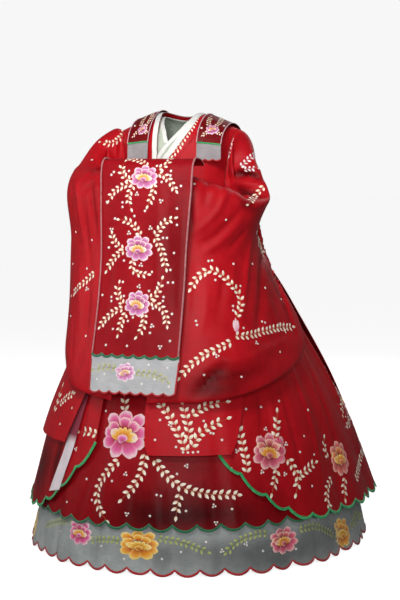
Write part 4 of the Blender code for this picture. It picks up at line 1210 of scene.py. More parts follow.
    def bud(self, place, length, turn):
        """A closed pink flower: three long petals, the middle one longest."""
        _, middle, rim = (rgb(*colour) for colour in FLOWER_LOOKS["pink"]["outer"])
        spot = Spot(self.sheet, place)
        for lean, share in ((-0.20, 0.84), (0.20, 0.84), (0.0, 1.0)):
            x, y = math.cos(turn + lean), math.sin(turn + lean)
            base = spot.reach(-0.5 * length * math.cos(turn), -0.5 * length * math.sin(turn))
            way = unit(spot.reach(x, y) - spot.centre)
            across = unit(np.cross(spot.normal, way))
            self.leaf(base, way, across, length * share, length * 0.30, middle, rim)

    def bouquet(self, place, radius, look, turn, arms):
        """A flower with leafy stems curling out of it and dots between them."""
        spot = Spot(self.sheet, place)
        for n, (start, bend, length) in enumerate(BOUQUET_ARMS[:arms]):
            share = np.linspace(0, 1, 14)
            heading = math.radians(start) + turn + math.radians(bend) * share
            gone = length / len(share)
            x = radius * 1.04 * math.cos(heading[0]) + np.cumsum(gone * np.cos(heading))
            y = radius * 1.04 * math.sin(heading[0]) + np.cumsum(gone * np.sin(heading))
            line, _ = self.sheet.lay(spot.reach(x, y), 0.0)
            self.spray(resampled(line, LINE_STEP), BOUQUET_LEAF)
            phi = heading[0] + 0.5
            reach = radius * 1.35 + 0.022 * (n % 3)
            self.dots(spot.reach(reach * math.cos(phi), reach * math.sin(phi)), 1 + 2 * (n % 2))
        self.peony(spot, radius, look, turn)

    def finish(self, name, material):
        """The threads as one object that goes with its sheet."""
        made = new_object(
            name, np.concatenate(self.points), np.concatenate(self.faces),
            np.concatenate(self.uvs), material, np.concatenate(self.colours),
        )
        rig.ride(made, "root")
        SHEETS[self.sheet.name]["with"].append(made)


class Spot:
    """A place on a sheet with its own right and up, for laying flat shapes out round it."""

    def __init__(self, sheet, place):
        self.sheet = sheet
        centre, normal, _, _ = sheet.tree.find_nearest(Vector(place))
        self.centre, self.normal = np.array(centre), np.array(normal)
        up = np.array((0, 0, 1.0)) - self.normal * self.normal[2]
        if np.linalg.norm(up) < 0.2:
            up = np.array((0, 1.0, 0)) - self.normal * self.normal[1]
        self.up = unit(up)
        self.right = np.cross(self.up, self.normal)

    def reach(self, x, y):
        x, y = np.broadcast_arrays(np.asarray(x, float), np.asarray(y, float))
        return self.centre + self.right * x[..., None] + self.up * y[..., None]


# start and bend in degrees, length in metres
BOUQUET_ARMS = (
    (70, 55, 0.080), (115, -50, 0.105), (165, 60, 0.085), (215, -45, 0.100), (262, 50, 0.090),
    (310, -60, 0.100), (0, 45, 0.090), (35, -40, 0.075),
)
# leaf colours at the root and tip, then the stem's
LEAF_LOOKS = {
    "cream": ((206, 150, 84), (252, 244, 226), (196, 96, 50)),
    "silver": ((220, 190, 184), (246, 238, 242), (206, 130, 120)),
    "green": ((88, 102, 42), (182, 190, 112), (108, 118, 58)),
    "sage": ((132, 132, 76), (192, 190, 140), (140, 138, 84)),
}
# root, middle and rim colours of each kind of petal
FLOWER_LOOKS = {
    "lilac": {
        "outer": ((170, 26, 88), (206, 116, 176), (244, 222, 228)),
        "inner": ((168, 24, 76), (206, 118, 176), (244, 222, 212)),
        "flank": ((226, 120, 120), (240, 196, 200), (252, 240, 220)),
        "heart": ((216, 106, 40), (238, 180, 88), (250, 232, 178)),
        "cup": ((176, 26, 82), (208, 114, 172), (244, 218, 218)),
    },
    "pink": {
        "outer": ((178, 10, 48), (226, 92, 154), (244, 206, 212)),
        "inner": ((172, 8, 40), (226, 98, 156), (240, 212, 200)),
        "flank": ((222, 110, 130), (236, 190, 190), (246, 228, 196)),
        "heart": ((222, 92, 18), (238, 168, 48), (244, 208, 130)),
        "cup": ((184, 20, 66), (226, 110, 178), (240, 200, 208)),
    },
    "rose": {
        "outer": ((152, 14, 34), (220, 96, 124), (244, 190, 186)),
        "inner": ((156, 18, 30), (226, 116, 116), (248, 208, 180)),
        "flank": ((200, 84, 80), (230, 150, 140), (246, 206, 176)),
        "heart": ((214, 92, 20), (238, 156, 46), (246, 206, 120)),
        "cup": ((160, 26, 44), (216, 100, 106), (240, 180, 160)),
    },
    "coral": {
        "outer": ((160, 20, 28), (226, 96, 88), (244, 176, 160)),
        "inner": ((176, 34, 20), (238, 124, 62), (250, 200, 140)),
        "flank": ((214, 96, 40), (244, 156, 80), (252, 212, 150)),
        "heart": ((214, 90, 18), (240, 156, 42), (246, 206, 104)),
        "cup": ((176, 40, 30), (230, 124, 60), (244, 186, 124)),
    },
    "pale": {
        "outer": ((196, 60, 124), (222, 150, 200), (248, 230, 236)),
        "inner": ((196, 66, 120), (224, 158, 198), (250, 234, 232)),
        "flank": ((224, 140, 150), (238, 200, 206), (252, 240, 228)),
        "heart": ((216, 124, 80), (234, 180, 124), (250, 228, 190)),
        "cup": ((200, 70, 126), (226, 146, 190), (248, 222, 228)),
    },
    "gold": {
        "outer": ((180, 56, 8), (244, 160, 38), (254, 222, 132)),
        "inner": ((190, 66, 10), (250, 172, 44), (254, 228, 142)),
        "flank": ((214, 104, 20), (250, 184, 66), (254, 232, 156)),
        "heart": ((190, 84, 14), (240, 180, 56), (250, 226, 136)),
        "cup": ((164, 66, 10), (230, 152, 40), (248, 214, 120)),
    },
}
# In shares of the flower's radius: kind of petal, where they grow from, then each petal's angle
# in degrees, start, reach and half width.
PEONY = (
    ("outer", (0.0, 0.0), (
        (91, 0.42, 1.06, 0.3), (133, 0.44, 1.12, 0.27), (48, 0.44, 1.13, 0.27),
        (9, 0.4, 1.02, 0.26), (-27, 0.36, 1.05, 0.27), (174, 0.42, 0.98, 0.25),
        (-153, 0.38, 1.08, 0.28), (-113, 0.22, 1.04, 0.29), (-64, 0.2, 1.06, 0.35),
    )),
    ("inner", (0.0, 0.0), ((150, 0.28, 0.9, 0.24), (92, 0.28, 0.76, 0.26), (43, 0.26, 0.76, 0.24))),
    ("flank", (0.0, 0.0), ((172, 0.06, 0.68, 0.2), (-16, 0.06, 0.62, 0.21))),
    ("heart", (-0.03, -0.22), (
        (2, 0.1, 0.5, 0.1), (28, 0.1, 0.54, 0.11), (55, 0.1, 0.56, 0.11), (82, 0.1, 0.54, 0.11),
        (109, 0.1, 0.56, 0.11), (136, 0.1, 0.58, 0.11), (163, 0.1, 0.56, 0.11),
    )),
    ("cup", (-0.03, -0.22), (
        (150, -0.06, 0.26, 0.13), (30, -0.06, 0.24, 0.12), (92, -0.1, 0.22, 0.16),
        (-140, -0.02, 0.2, 0.1),
    )),
)
# sides of a cord, and how far its middle stands out as a share of its height
CORD_SIDES = 8
CORD_RISE = 0.35


def tube_faces(points, inside):
    """Faces of a tube made of rings of points, turned away from a place inside its first ring."""
    flat = points.reshape(-1, 3)
    faces = quads(*points.shape[:2], True)
    a, b, c = flat[faces[0][:3]]
    outward = np.dot(np.cross(b - a, c - a), a - inside) > 0
    return faces if outward else faces[:, ::-1]


def tube_caps(rings, around):
    """The two flat ends of such a tube."""
    return [list(range(around)), list(range((rings - 1) * around, rings * around))[::-1]]


def edging(name, sheet, line, material, width, height, closed=False):
    """A corded edge: satin stitches over a line along a sheet's own edge."""
    if closed:
        ahead = unit(np.roll(line, -1, axis=0) - np.roll(line, 1, axis=0))
    else:
        ahead = unit(np.gradient(line, axis=0))
    placed, normals = sheet.lay(line, 0.0)
    side = unit(np.cross(normals, ahead))
    turn = np.linspace(0, 2 * math.pi, CORD_SIDES + 1)[:-1]
    centre = placed + normals * (height * CORD_RISE)
    points = (
        centre[:, None, :]
        + side[:, None, :] * (np.cos(turn) * width / 2)[None, :, None]
        + normals[:, None, :] * (np.sin(turn) * height / 2)[None, :, None]
    )
    if closed:
        points = np.concatenate((points, points[:1]))
    gone = np.concatenate(([0], np.cumsum(np.linalg.norm(np.diff(points[:, 0], axis=0), axis=1))))
    uvs = np.stack(np.broadcast_arrays(gone[:, None], (turn * width / 4)[None, :]), axis=-1)
    faces = tube_faces(points, centre[0]).tolist()
    if not closed:
        faces += tube_caps(len(line), CORD_SIDES)
    made = new_object(name, points.reshape(-1, 3), faces, uvs.reshape(-1, 2), material)
    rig.ride(made, "root")
    SHEETS[sheet.name]["with"].append(made)


# ---- materials ---------------------------------------------------------------------------


def node(tree, kind, inputs=None, **settings):
    made = tree.nodes.new(kind)
    for name, value in settings.items():
        setattr(made, name, value)
    for name, value in (inputs or {}).items():
        if isinstance(value, bpy.types.NodeSocket):
            tree.links.new(value, made.inputs[name])
        else:
            made.inputs[name].default_value = value
    return made


class Shading:
    """A new material, with short ways to add nodes to it."""

    def __init__(self, name):
        self.material = bpy.data.materials.new(name)
        self.material.use_nodes = True
        self.tree = self.material.node_tree
        self.place = self.add("ShaderNodeTexCoord").outputs["Object"]

    def add(self, kind, inputs=None, **settings):
        return node(self.tree, kind, inputs, **settings)

    def maths(self, operation, a, b=0.0):
        return self.add("ShaderNodeMath", {0: a, 1: b}, operation=operation).outputs[0]

    def times(self, a, b):
        return self.maths("MULTIPLY", a, b)

    def plus(self, a, b):
        return self.maths("ADD", a, b)

    def wave(self, value, length):
        """A sine wave of one length along a value."""
        return self.maths("SINE", self.times(value, 2 * math.pi / length))

    def noise(self, vector, scale, detail, roughness=0.55):
        inputs = {"Vector": vector, "Scale": scale, "Detail": detail, "Roughness": roughness}
        return self.add("ShaderNodeTexNoise", inputs).outputs["Fac"]

    def ramp(self, value, low, high, bottom=0.0, top=1.0):
        inputs = {
            "Value": value, "From Min": low, "From Max": high, "To Min": bottom, "To Max": top,
        }
        return self.add("ShaderNodeMapRange", inputs).outputs[0]

    def mix(self, share, first, second, blend="MIX"):
        made = self.add("ShaderNodeMix", {"Factor": share}, data_type="RGBA", blend_type=blend)
        for slot_name, value in (("A", first), ("B", second)):
            socket = [s for s in made.inputs if s.name == slot_name and s.type == "RGBA"][0]
            if isinstance(value, bpy.types.NodeSocket):
                self.tree.links.new(value, socket)
            else:
                socket.default_value = (*value, 1.0)
        return [s for s in made.outputs if s.type == "RGBA"][0]

    def dimmed(self, colour, share):
        """A colour times one share of light."""
        grey = self.add("ShaderNodeCombineXYZ", {0: share, 1: share, 2: share}).outputs[0]
        return self.mix(1.0, colour, grey, "MULTIPLY")

    def own_colour(self, layer):
        return self.add("ShaderNodeVertexColor", layer_name=layer).outputs["Color"]

    def on_cloth(self):
        """Where the cloth is along its own threads: the pair, then across and down."""
        uv = self.add("ShaderNodeUVMap", uv_map="cloth").outputs[0]
        across, down, _ = self.add("ShaderNodeSeparateXYZ", {0: uv}).outputs
        return uv, across, down

    def by_height(self, low, high, bottom, top):
        """A share that changes between two heights above the floor."""
        level = self.add("ShaderNodeSeparateXYZ", {0: self.place}).outputs[2]
        return self.ramp(level, low - SHOULDER_HEIGHT, high - SHOULDER_HEIGHT, bottom, top)

    def join(self, **inputs):
        """Sets the shader's inputs, each to a plain value or another node's output."""
        shader = self.tree.nodes["Principled BSDF"]
        for name, value in inputs.items():
            socket = shader.inputs[name.replace("_", " ")]
            if isinstance(value, bpy.types.NodeSocket):
                self.tree.links.new(value, socket)
            else:
                socket.default_value = value
        return self.material

    def relief(self, height, strength, distance):
        inputs = {"Height": height, "Strength": strength, "Distance": distance}
        return self.add("ShaderNodeBump", inputs).outputs[0]


def woven(name, dark, middle, light, pitch=0.0013, roughness=0.42, sheen=0.05, crumple=1.0,
          slub=1.0, alpha=1.0, damask=0.0, weave=1.0, shaded=None, veiled=None):
    """A woven silk: warp and weft, slubs, slow colour drift, soft crumples and a silk sheen.

    shaded darkens it and veiled tints it by height: two heights, then a share or a colour."""
    n = Shading(name)
    dark, middle, light = (rgb(*colour) for colour in (dark, middle, light))
    uv, across, down = n.on_cloth()
    threads = n.times(n.wave(across, pitch), n.wave(down, pitch))
    stretch = n.add("ShaderNodeMapping", {"Vector": uv, "Scale": (22.0, 620.0, 1.0)}).outputs[0]
    slubs = n.noise(stretch, 1.0, 2.0)
    drift = n.noise(n.place, 3.2, 4.0)
    mottle = n.noise(n.place, 26.0, 4.0, 0.6)
    # the cloth's own random tone: slow drift and fine mottle
    tone = n.plus(n.times(drift, 0.55), n.times(mottle, 0.45))
    shade = n.mix(n.ramp(tone, 0.36, 0.64), dark, light)
    shade = n.mix(0.55, shade, middle)
    # painted shade: the colour times the shade painted on each point by creases and listed lines
    shade = n.mix(1.0, shade, n.own_colour("tone"), "MULTIPLY")
    shade = n.dimmed(shade, n.ramp(slubs, 0.30, 0.70, 1 - 0.07 * slub, 1 + 0.07 * slub))
    if shaded:
        low, high, share = shaded
        shade = n.dimmed(shade, n.by_height(low, high, share, 1.0))
    if veiled:
        low, high, colour = veiled
        shade = n.mix(n.by_height(low, high, 0.0, 1.0), shade, rgb(*colour))
    pale = tuple(min(1.0, 1.25 * c + 0.03) for c in middle)
    height = n.plus(n.times(threads, 0.10 * weave), n.times(slubs, 0.30 * slub))
    if damask:
        cells = n.add("ShaderNodeTexVoronoi", {"Vector": uv, "Scale": 62.0}, feature="F1")
        petals = n.add("ShaderNodeTexVoronoi", {"Vector": uv, "Scale": 150.0}, feature="F1")
        figure = n.times(n.ramp(cells.outputs["Distance"], 0.50, 0.34),
                         n.ramp(petals.outputs["Distance"], 0.55, 0.30))
        shade = n.mix(n.times(figure, damask), shade, pale)
        height = n.plus(height, n.times(figure, 0.4))
    wide, fine = n.noise(n.place, 9.0, 2.0, 0.4), n.noise(n.place, 34.0, 3.0, 0.5)
    folds = n.plus(n.times(wide, 14.0), n.times(fine, 3.0))
    height = n.plus(height, n.times(folds, crumple))
    return n.join(
        Base_Color=shade, Normal=n.relief(height, 0.6, 0.0007),
        Roughness=n.ramp(mottle, 0.3, 0.7, roughness - 0.05, roughness + 0.07),
        Sheen_Weight=sheen, Sheen_Roughness=0.45, Sheen_Tint=(*pale, 1.0), Alpha=alpha,
        Specular_IOR_Level=0.12,
    )


def threaded(name):
    """Embroidery silk: each piece's own colour under fine raised thread lines."""
    n = Shading(name)
    _, along, across = n.on_cloth()
    line = n.wave(n.plus(along, n.times(across, 0.7)), 0.0011)
    uneven = n.noise(n.place, 420.0, 2.0)
    streak = n.plus(n.times(line, 0.05), n.ramp(uneven, 0.3, 0.7, 0.92, 1.08))
    return n.join(
        Base_Color=n.dimmed(n.own_colour("thread"), streak),
        Normal=n.relief(n.plus(n.times(line, 0.5), uneven), 0.5, 0.0003),
        Roughness=n.ramp(uneven, 0.3, 0.7, 0.32, 0.46),
        Sheen_Weight=0.3, Sheen_Roughness=0.4, Specular_IOR_Level=0.4,
    )


def corded(name, colour, dark):
    """A cord of satin stitches laid across an edge."""
    n = Shading(name)
    _, along, across = n.on_cloth()
    stitch = n.wave(n.plus(along, n.times(across, 0.5)), 0.0017)
    uneven = n.noise(n.place, 90.0, 3.0)
    share = n.plus(n.times(stitch, 0.18), n.ramp(uneven, 0.3, 0.7, 0.2, 0.9))
    return n.join(
        Base_Color=n.mix(share, rgb(*dark), rgb(*colour)),
        Normal=n.relief(n.plus(stitch, uneven), 0.6, 0.0004),
        Roughness=n.ramp(uneven, 0.3, 0.7, 0.35, 0.48),
        Sheen_Weight=0.2, Sheen_Roughness=0.4,
    )


ORGANZA = {"pitch": 0.0017, "roughness": 0.5, "sheen": 0.15, "weave": 2.0}
robe_silk = woven("robe_silk", (158, 11, 22), (180, 17, 28), (200, 25, 35))
skirt_silk = woven(
    "skirt_silk", (132, 6, 17), (152, 10, 21), (170, 16, 27), shaded=(0.15, 0.70, 0.84),
)
overskirt_silk = woven(
    "overskirt_silk", (162, 11, 22), (184, 17, 28), (206, 26, 36), sheen=0.06, alpha=0.97,
    shaded=(0.15, 0.60, 0.70),
)
panel_silk = woven("panel_silk", (132, 8, 19), (150, 12, 23), (168, 18, 29))
ribbon_silk = woven("ribbon_silk", (90, 5, 10), (106, 7, 13), (124, 11, 17))
hem_organza = woven(
    "hem_organza", (130, 136, 135), (158, 164, 163), (202, 208, 204), crumple=1.4, slub=1.6,
    alpha=0.86, **ORGANZA,
)
end_organza = woven(
    "end_organza", (166, 166, 168), (190, 190, 192), (216, 216, 216), slub=1.8, alpha=0.90,
    **ORGANZA,
)
# the band's organza made darker for the ribbons' ends, as painted shade
ribbon_organza_painted_shade = woven(
    "ribbon_organza_painted_shade", (132, 126, 128), (154, 146, 148), (180, 174, 175), slub=1.8, alpha=0.92,
    **ORGANZA,
)
white_silk = woven(
    "white_silk", (206, 205, 200), (222, 221, 216), (238, 237, 233), roughness=0.5, sheen=0.1,
    crumple=0.5, slub=0.6,
)
tie_silk = woven(
    "tie_silk", (212, 194, 202), (228, 214, 219), (242, 232, 234), roughness=0.5, sheen=0.1,
    crumple=0.6, slub=0.8, veiled=(0.375, 0.400, (138, 50, 66)),
)
jade_brocade = woven(
    "jade_brocade", (150, 162, 146), (176, 186, 168), (204, 210, 194), sheen=0.15, crumple=0.4,
    slub=0.8, damask=0.6,
)
thread = threaded("embroidery_silk")
green_cord = corded("green_cord", (46, 190, 106), (20, 122, 70))
deep_green_cord = corded("deep_green_cord", (30, 128, 82), (14, 78, 50))
red_cord = corded("red_cord", (206, 26, 36), (138, 10, 20))
rose_cord = corded("rose_cord", (206, 138, 140), (158, 84, 88))
pale_cord = corded("pale_cord", (226, 190, 196), (186, 136, 146))


# ---- the clothes -------------------------------------------------------------------------

# thickness in metres, material and slot of each cloth
HEM_ORGANZA = (0.0007, hem_organza, "grey_organza")
END_ORGANZA = (0.0007, end_organza, "grey_organza")
# the ribbons' ends take the darker organza: painted shade
RIBBON_ORGANZA_PAINTED_SHADE = (0.0007, ribbon_organza_painted_shade, "grey_organza")
SKIRT_SILK = (0.0010, skirt_silk, "red_silk")
OVERSKIRT_SILK = (0.0010, overskirt_silk, "red_organza")
ROBE_SILK = (0.0013, robe_silk, "red_silk")
COLLAR_SILK = (0.0010, robe_silk, "red_silk")
PANEL_SILK = (0.0009, panel_silk, "red_silk")
RIBBON_SILK = (0.0009, ribbon_silk, "red_silk")
WHITE_SILK = (0.0010, white_silk, "white_silk")
TIE_SILK = (0.0010, tie_silk, "white_silk")
JADE_SILK = (0.0009, jade_brocade, "jade_silk")
# cut area over built area of cloth that is gathered into a band
GATHERED = 1.05
# rows down from the band where the overskirt's front edge has no cord
UNBOUND_ROWS = 24
# rows of the front cloth's end that its panel covers
COVERED_ROWS = 4
# places inside the curves of the front cloth and of the ribbons, which tell their outer faces
CLOTH_AXIS = (0, -0.262, 0.90)
RIBBON_AXIS_LEVEL = 1.20
# side, the robe's panel and the jacket's
FRONTS = (
    ("left", ROBE_LEFT_FRONT, JACKET_LEFT_FRONT), ("right", ROBE_RIGHT_FRONT, JACKET_RIGHT_FRONT),
)
SLEEVES = ((1, "left", LEFT_SLEEVE), (-1, "right", RIGHT_SLEEVE))


# paints the shade that SHADES lists for a sheet into its colour
def shade_sheet(sheet):
    for places, width, share in SHADES[sheet.name]:
        sheet.dim(sheet.seen_line(places), width / 1000, share)


def press(sheet, creases):
    for places, width, depth in creases:
        sheet.crease(sheet.seen_line(places), width / 1000, depth / 1000)


def fold_skirt(sheet, folds_behind=()):
    shade_sheet(sheet)
    lines = []
    for top, bottom, width, depth in folds_behind:
        run = np.array([sheet.at(*share) for share in np.linspace(top, bottom, 40)])
        lines.append((resampled(run, LINE_STEP), width / 1000, depth / 1000))
    press(sheet, SKIRT_FOLDS_SEEN[sheet.name])
    for line in lines:
        sheet.crease(*line)
    sheet.settle()


def build_skirts():
    underskirt = Sheet("underskirt_cloth", skirt_grid(underskirt_gap, UNDERSKIRT_HEM), ring=True)
    skirt = Sheet("skirt_cloth", skirt_grid(no_gap, SKIRT_HEM), ring=True)
    overskirt = Sheet("overskirt_cloth", overskirt_grid())
    fold_skirt(underskirt)
    fold_skirt(skirt)
    fold_skirt(overskirt, OVERSKIRT_FOLDS_BEHIND)
    waistband = Sheet("waistband_cloth", waistband_grid(), ring=True)
    tie = Sheet("tie_cloth", tie_grid())
    make_cloth(underskirt, HEM_ORGANZA, "underskirt", "hung", ["waistband"], GATHERED)
    make_cloth(skirt, SKIRT_SILK, "skirt", "gathered", ["waistband"], GATHERED)
    make_cloth(overskirt, OVERSKIRT_SILK, "overskirt", "gathered", ["waistband"], GATHERED)
    make_cloth(waistband, WHITE_SILK, "waistband", "stretched", ["jacket_back"])
    make_cloth(tie, TIE_SILK, "white_tie", "hung", ["waistband"])
    edging("underskirt_edge", underskirt, underskirt.points[-1], red_cord, 0.0075, 0.0026, True)
    edging("skirt_edge", skirt, skirt.points[-1], deep_green_cord, 0.0074, 0.0028, True)
    p = overskirt.points
    border = np.concatenate((p[-1, ::-1], p[::-1, 0][1:-UNBOUND_ROWS]))
    edging("overskirt_edge", overskirt, border, green_cord, 0.0094, 0.0032)
    return underskirt, skirt, overskirt


def build_robe():
    made = []
    for side, edges, _ in FRONTS:
        sheet = Sheet(f"robe_{side}_front_cloth", panel_grid(edges, 64, 48, robe_gap))
        make_cloth(sheet, ROBE_SILK, f"robe_{side}_front", "hung", ["robe_back"])
        made.append(sheet)
    sheet = Sheet("robe_back_cloth", parted(panel_grid(ROBE_BACK, 70, 110, robe_gap, back_top)))
    make_cloth(sheet, ROBE_SILK, "robe_back", "hung", ["jacket_back"])
    made.append(sheet)
    for side, name, table in SLEEVES:
        sheet = Sheet(f"robe_{name}_sleeve_cloth", robe_sleeve_grid(side, table), True, own_axis)
        press(sheet, SLEEVE_CREASES[name])
        if name == "left":
            press(sheet, ELBOW_CREASES)
        for places, width, depth in BACK_CREASES[name]:
            line = resampled(rounded([sheet.at(*place) for place in places]), LINE_STEP)
            sheet.crease(line, width / 1000, depth / 1000)
        sheet.settle()
        shade_sheet(sheet)
        make_cloth(sheet, ROBE_SILK, f"robe_{name}_sleeve", "hung",
                   [f"robe_{name}_front", "robe_back"])
        made.append(sheet)
    return made


def build_jacket():
    for side, _, edges in FRONTS:
        grid = panel_grid(edges, 12, 32, lambda angle, level, side=side: jacket_gap(side, level))
        sheet = Sheet(f"jacket_{side}_front_cloth", grid)
        make_cloth(sheet, JADE_SILK, f"jacket_{side}_front", "hung", ["waistband"])
    grid = panel_grid(JACKET_BACK, 12, 60, lambda angle, level: jacket_gap("back", level), back_top)
    make_cloth(Sheet("jacket_back_cloth", parted(grid)), JADE_SILK, "jacket_back", "hung",
               ["waistband"])
    for side, name, table in SLEEVES:
        grid = jacket_sleeve_grid(side, name, table)
        sheet = Sheet(f"jacket_{name}_sleeve_cloth", grid, True, own_axis)
        if name == "left":
            press(sheet, ELBOW_CREASES)
            sheet.settle()
        make_cloth(sheet, JADE_SILK, f"jacket_{name}_sleeve", "hung", [f"robe_{name}_sleeve"])
    for side, name, edges, bottom in (
        (1, "left", JACKET_LEFT_FRONT, 1.215), (-1, "right", JACKET_RIGHT_FRONT, 1.292),
    ):
        grid = jacket_collar_grid(side, name, edges, np.linspace(SHOULDER_SEAM, bottom, 36))
        sheet = Sheet(f"jacket_{name}_collar_cloth", grid)
        make_cloth(sheet, WHITE_SILK, f"jacket_{name}_collar", "laid", [f"jacket_{name}_front"])
    sheet = Sheet("jacket_back_collar_cloth", jacket_nape_grid())
    make_cloth(sheet, WHITE_SILK, "jacket_back_collar", "laid", ["jacket_back"])


def build_collars():
    grid = collar_grid(COLLAR_LIFT, np.linspace(-0.001, COLLAR_WIDTH, 13))
    collar = Sheet("robe_collar_cloth", grid)
    make_cloth(collar, COLLAR_SILK, "robe_collar", "laid",
               ["robe_left_front", "robe_right_front", "robe_back"])
    grid = collar_grid(2 * COLLAR_LIFT, np.linspace(-0.003, COLLAR_STRIP_WIDTH - 0.003, 7))
    make_cloth(Sheet("collar_strip_cloth", grid), WHITE_SILK, "robe_collar_strip", "laid",
               ["robe_collar"])
    return collar


def build_front_cloth():
    panel = Sheet("front_cloth_panel", front_cloth_grid(0.003, CLOTH_TURN_AT, 0.0, 90),
                  axis=CLOTH_AXIS)
    press(panel, PANEL_CREASES)
    panel.settle()
    shade_sheet(panel)
    make_cloth(panel, PANEL_SILK, "front_cloth", "draped",
               ["robe_left_sleeve", "robe_right_sleeve"])
    grid = front_cloth_grid(
        CLOTH_TURN_AT - CLOTH_OVERLAP, CLOTH_END_AT, -(TRIM_WALL + SEAM_GAP), 20, 6,
    )
    end = Sheet("front_cloth_band", grid, axis=CLOTH_AXIS)
    make_cloth(end, END_ORGANZA, "front_cloth_end", "hung", ["front_cloth"])
    for side, name in ((-1, "right"), (1, "left")):
        points = piping_grid(side) + FLOOR
        rows, around, _ = points.shape
        faces = tube_faces(points, points[0].mean(axis=0)).tolist() + tube_caps(rows, around)
        uvs = stack(np.linspace(0, 0.70, rows)[:, None], np.linspace(0, 0.015, around), 0)
        piping = new_object(f"{name}_piping", points.reshape(-1, 3), faces,
                            uvs[..., :2].reshape(-1, 2), rose_cord)
        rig.replaces(piping, f"front_cloth_{name}_piping")
        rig.slot(piping, "rose_piping")
        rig.ride(piping, "root")
        SHEETS["front_cloth_panel"]["with"].append(piping)
    edging("front_cloth_edge", panel, panel.points[-1], deep_green_cord, 0.0070, 0.0026)
    p = end.points
    border = np.concatenate((p[COVERED_ROWS:, 0], p[-1, 1:-1], p[COVERED_ROWS:, -1][::-1]))
    edging("front_band_edge", end, border, red_cord, 0.0055, 0.0020)
    return panel, end


def build_ribbons():
    made = []
    for name, front in (("left_ribbon", "robe_left_front"), ("right_ribbon", "robe_right_front")):
        axis = (RIBBONS[name][0], 0, RIBBON_AXIS_LEVEL)
        ribbon = Sheet(f"{name}_cloth", ribbon_grid(name), axis=axis)
        make_cloth(ribbon, RIBBON_SILK, name, "draped", ["robe_back", front])
        end = Sheet(f"{name}_band", ribbon_end_grid(name), axis=axis)
        make_cloth(end, RIBBON_ORGANZA_PAINTED_SHADE, f"{name}_end", "hung", [name])
        p = ribbon.points
        for edge, line in (("inner", p[:, 0]), ("outer", p[:, -1])):
            edging(f"{name}_{edge}_piping", ribbon, line, pale_cord, 0.0030, 0.0022)
        edging(f"{name}_green", ribbon, p[-1], green_cord, 0.0042, 0.0022)
        edging(f"{name}_back_edge", ribbon, p[0], red_cord, 0.0030, 0.0020)
        edging(f"{name}_red", end, end.points[-1], red_cord, 0.0042, 0.0020)
        made.append(ribbon)
    return made


# Soft creases and folds: places in the frame, width and depth in millimetres (below 0 stands
# out). Those of the bent elbow are pressed into the robe's sleeve and the jacket's alike.
# Each trough of these creases and folds, and of their like below, is also painted darker as shade.
ELBOW_CREASES = (
    (((233, 165), (247, 167), (263, 171)), 10, -9), (((232, 173), (246, 175), (264, 178)), 8, 13),
    (((236, 183), (250, 184), (264, 186)), 10, -8), (((237, 190), (248, 198), (262, 196)), 11, 10),
    (((240, 203), (250, 207), (264, 205)), 12, -9),
)
SLEEVE_CREASES = {
    "left": (
        (((190, 196), (190, 212), (192, 230)), 12, 7),
        (((229, 184), (224, 198), (218, 212), (207, 223), (194, 232)), 10, -7),
        (((213, 170), (208, 186), (204, 204)), 12, 6),
        (((222, 172), (217, 182), (213, 194)), 9, -4),
        (((240, 212), (226, 226), (214, 238), (202, 244)), 10, 7),
        (((240, 222), (226, 238), (214, 247), (202, 254)), 10, -6),
        (((248, 228), (236, 242), (226, 252)), 9, 5),
        (((252, 238), (247, 262), (245, 292), (240, 322)), 11, -8),
        (((262, 248), (262, 278), (262, 306), (256, 336)), 18, 9),
        (((266, 250), (277, 276), (288, 306), (297, 332)), 10, -8),
        (((272, 248), (285, 276), (297, 306), (306, 334)), 9, 9),
        (((224, 272), (222, 296), (216, 320)), 12, 5),
        (((208, 288), (206, 312), (200, 336)), 12, -4),
        (((196, 262), (195, 290), (193, 320)), 10, 4),
        (((234, 262), (233, 284), (230, 302)), 8, -3),
        (((196, 396), (206, 384), (216, 372), (224, 366)), 13, 17),
        (((212, 374), (226, 376), (244, 374), (262, 366)), 14, 12),
        (((188, 384), (204, 368), (219, 358), (240, 361), (264, 352), (286, 340)), 10, -8),
        (((232, 330), (246, 338), (266, 340)), 12, 4),
        (((270, 300), (276, 320), (280, 338)), 9, -3),
    ),
    "right": (
        (((106, 148), (111, 158), (118, 170)), 9, 7), (((98, 152), (101, 166), (104, 182)), 10, -5),
        (((78, 182), (90, 172), (104, 166)), 8, -6), (((82, 192), (94, 182), (104, 176)), 9, 6),
        (((76, 168), (78, 200), (83, 240)), 10, -7), (((91, 184), (92, 206), (96, 232)), 11, 7),
        (((85, 206), (86, 232), (90, 262)), 9, 5), (((99, 196), (100, 222), (99, 250)), 8, -4),
        (((72, 196), (72, 230), (74, 262)), 8, 4), (((80, 262), (80, 296), (80, 330)), 12, -4),
        (((90, 268), (88, 300), (86, 342)), 11, 5), (((74, 290), (73, 326), (72, 362)), 9, 4),
        (((84, 344), (80, 364), (74, 380)), 9, 5),
    ),
}
PANEL_CREASES = (
    (((103, 215), (112, 217), (122, 218)), 6, 3), (((103, 224), (114, 226), (124, 225)), 5, 2.5),
    (((102, 231), (110, 232), (118, 232)), 5, -2), (((170, 186), (168, 230), (170, 280)), 16, 3.5),
    (((158, 200), (156, 240), (158, 290)), 14, -3), (((112, 250), (109, 290), (104, 340)), 12, 2.5),
    (((182, 210), (181, 260), (178, 320)), 10, -2.5),
)
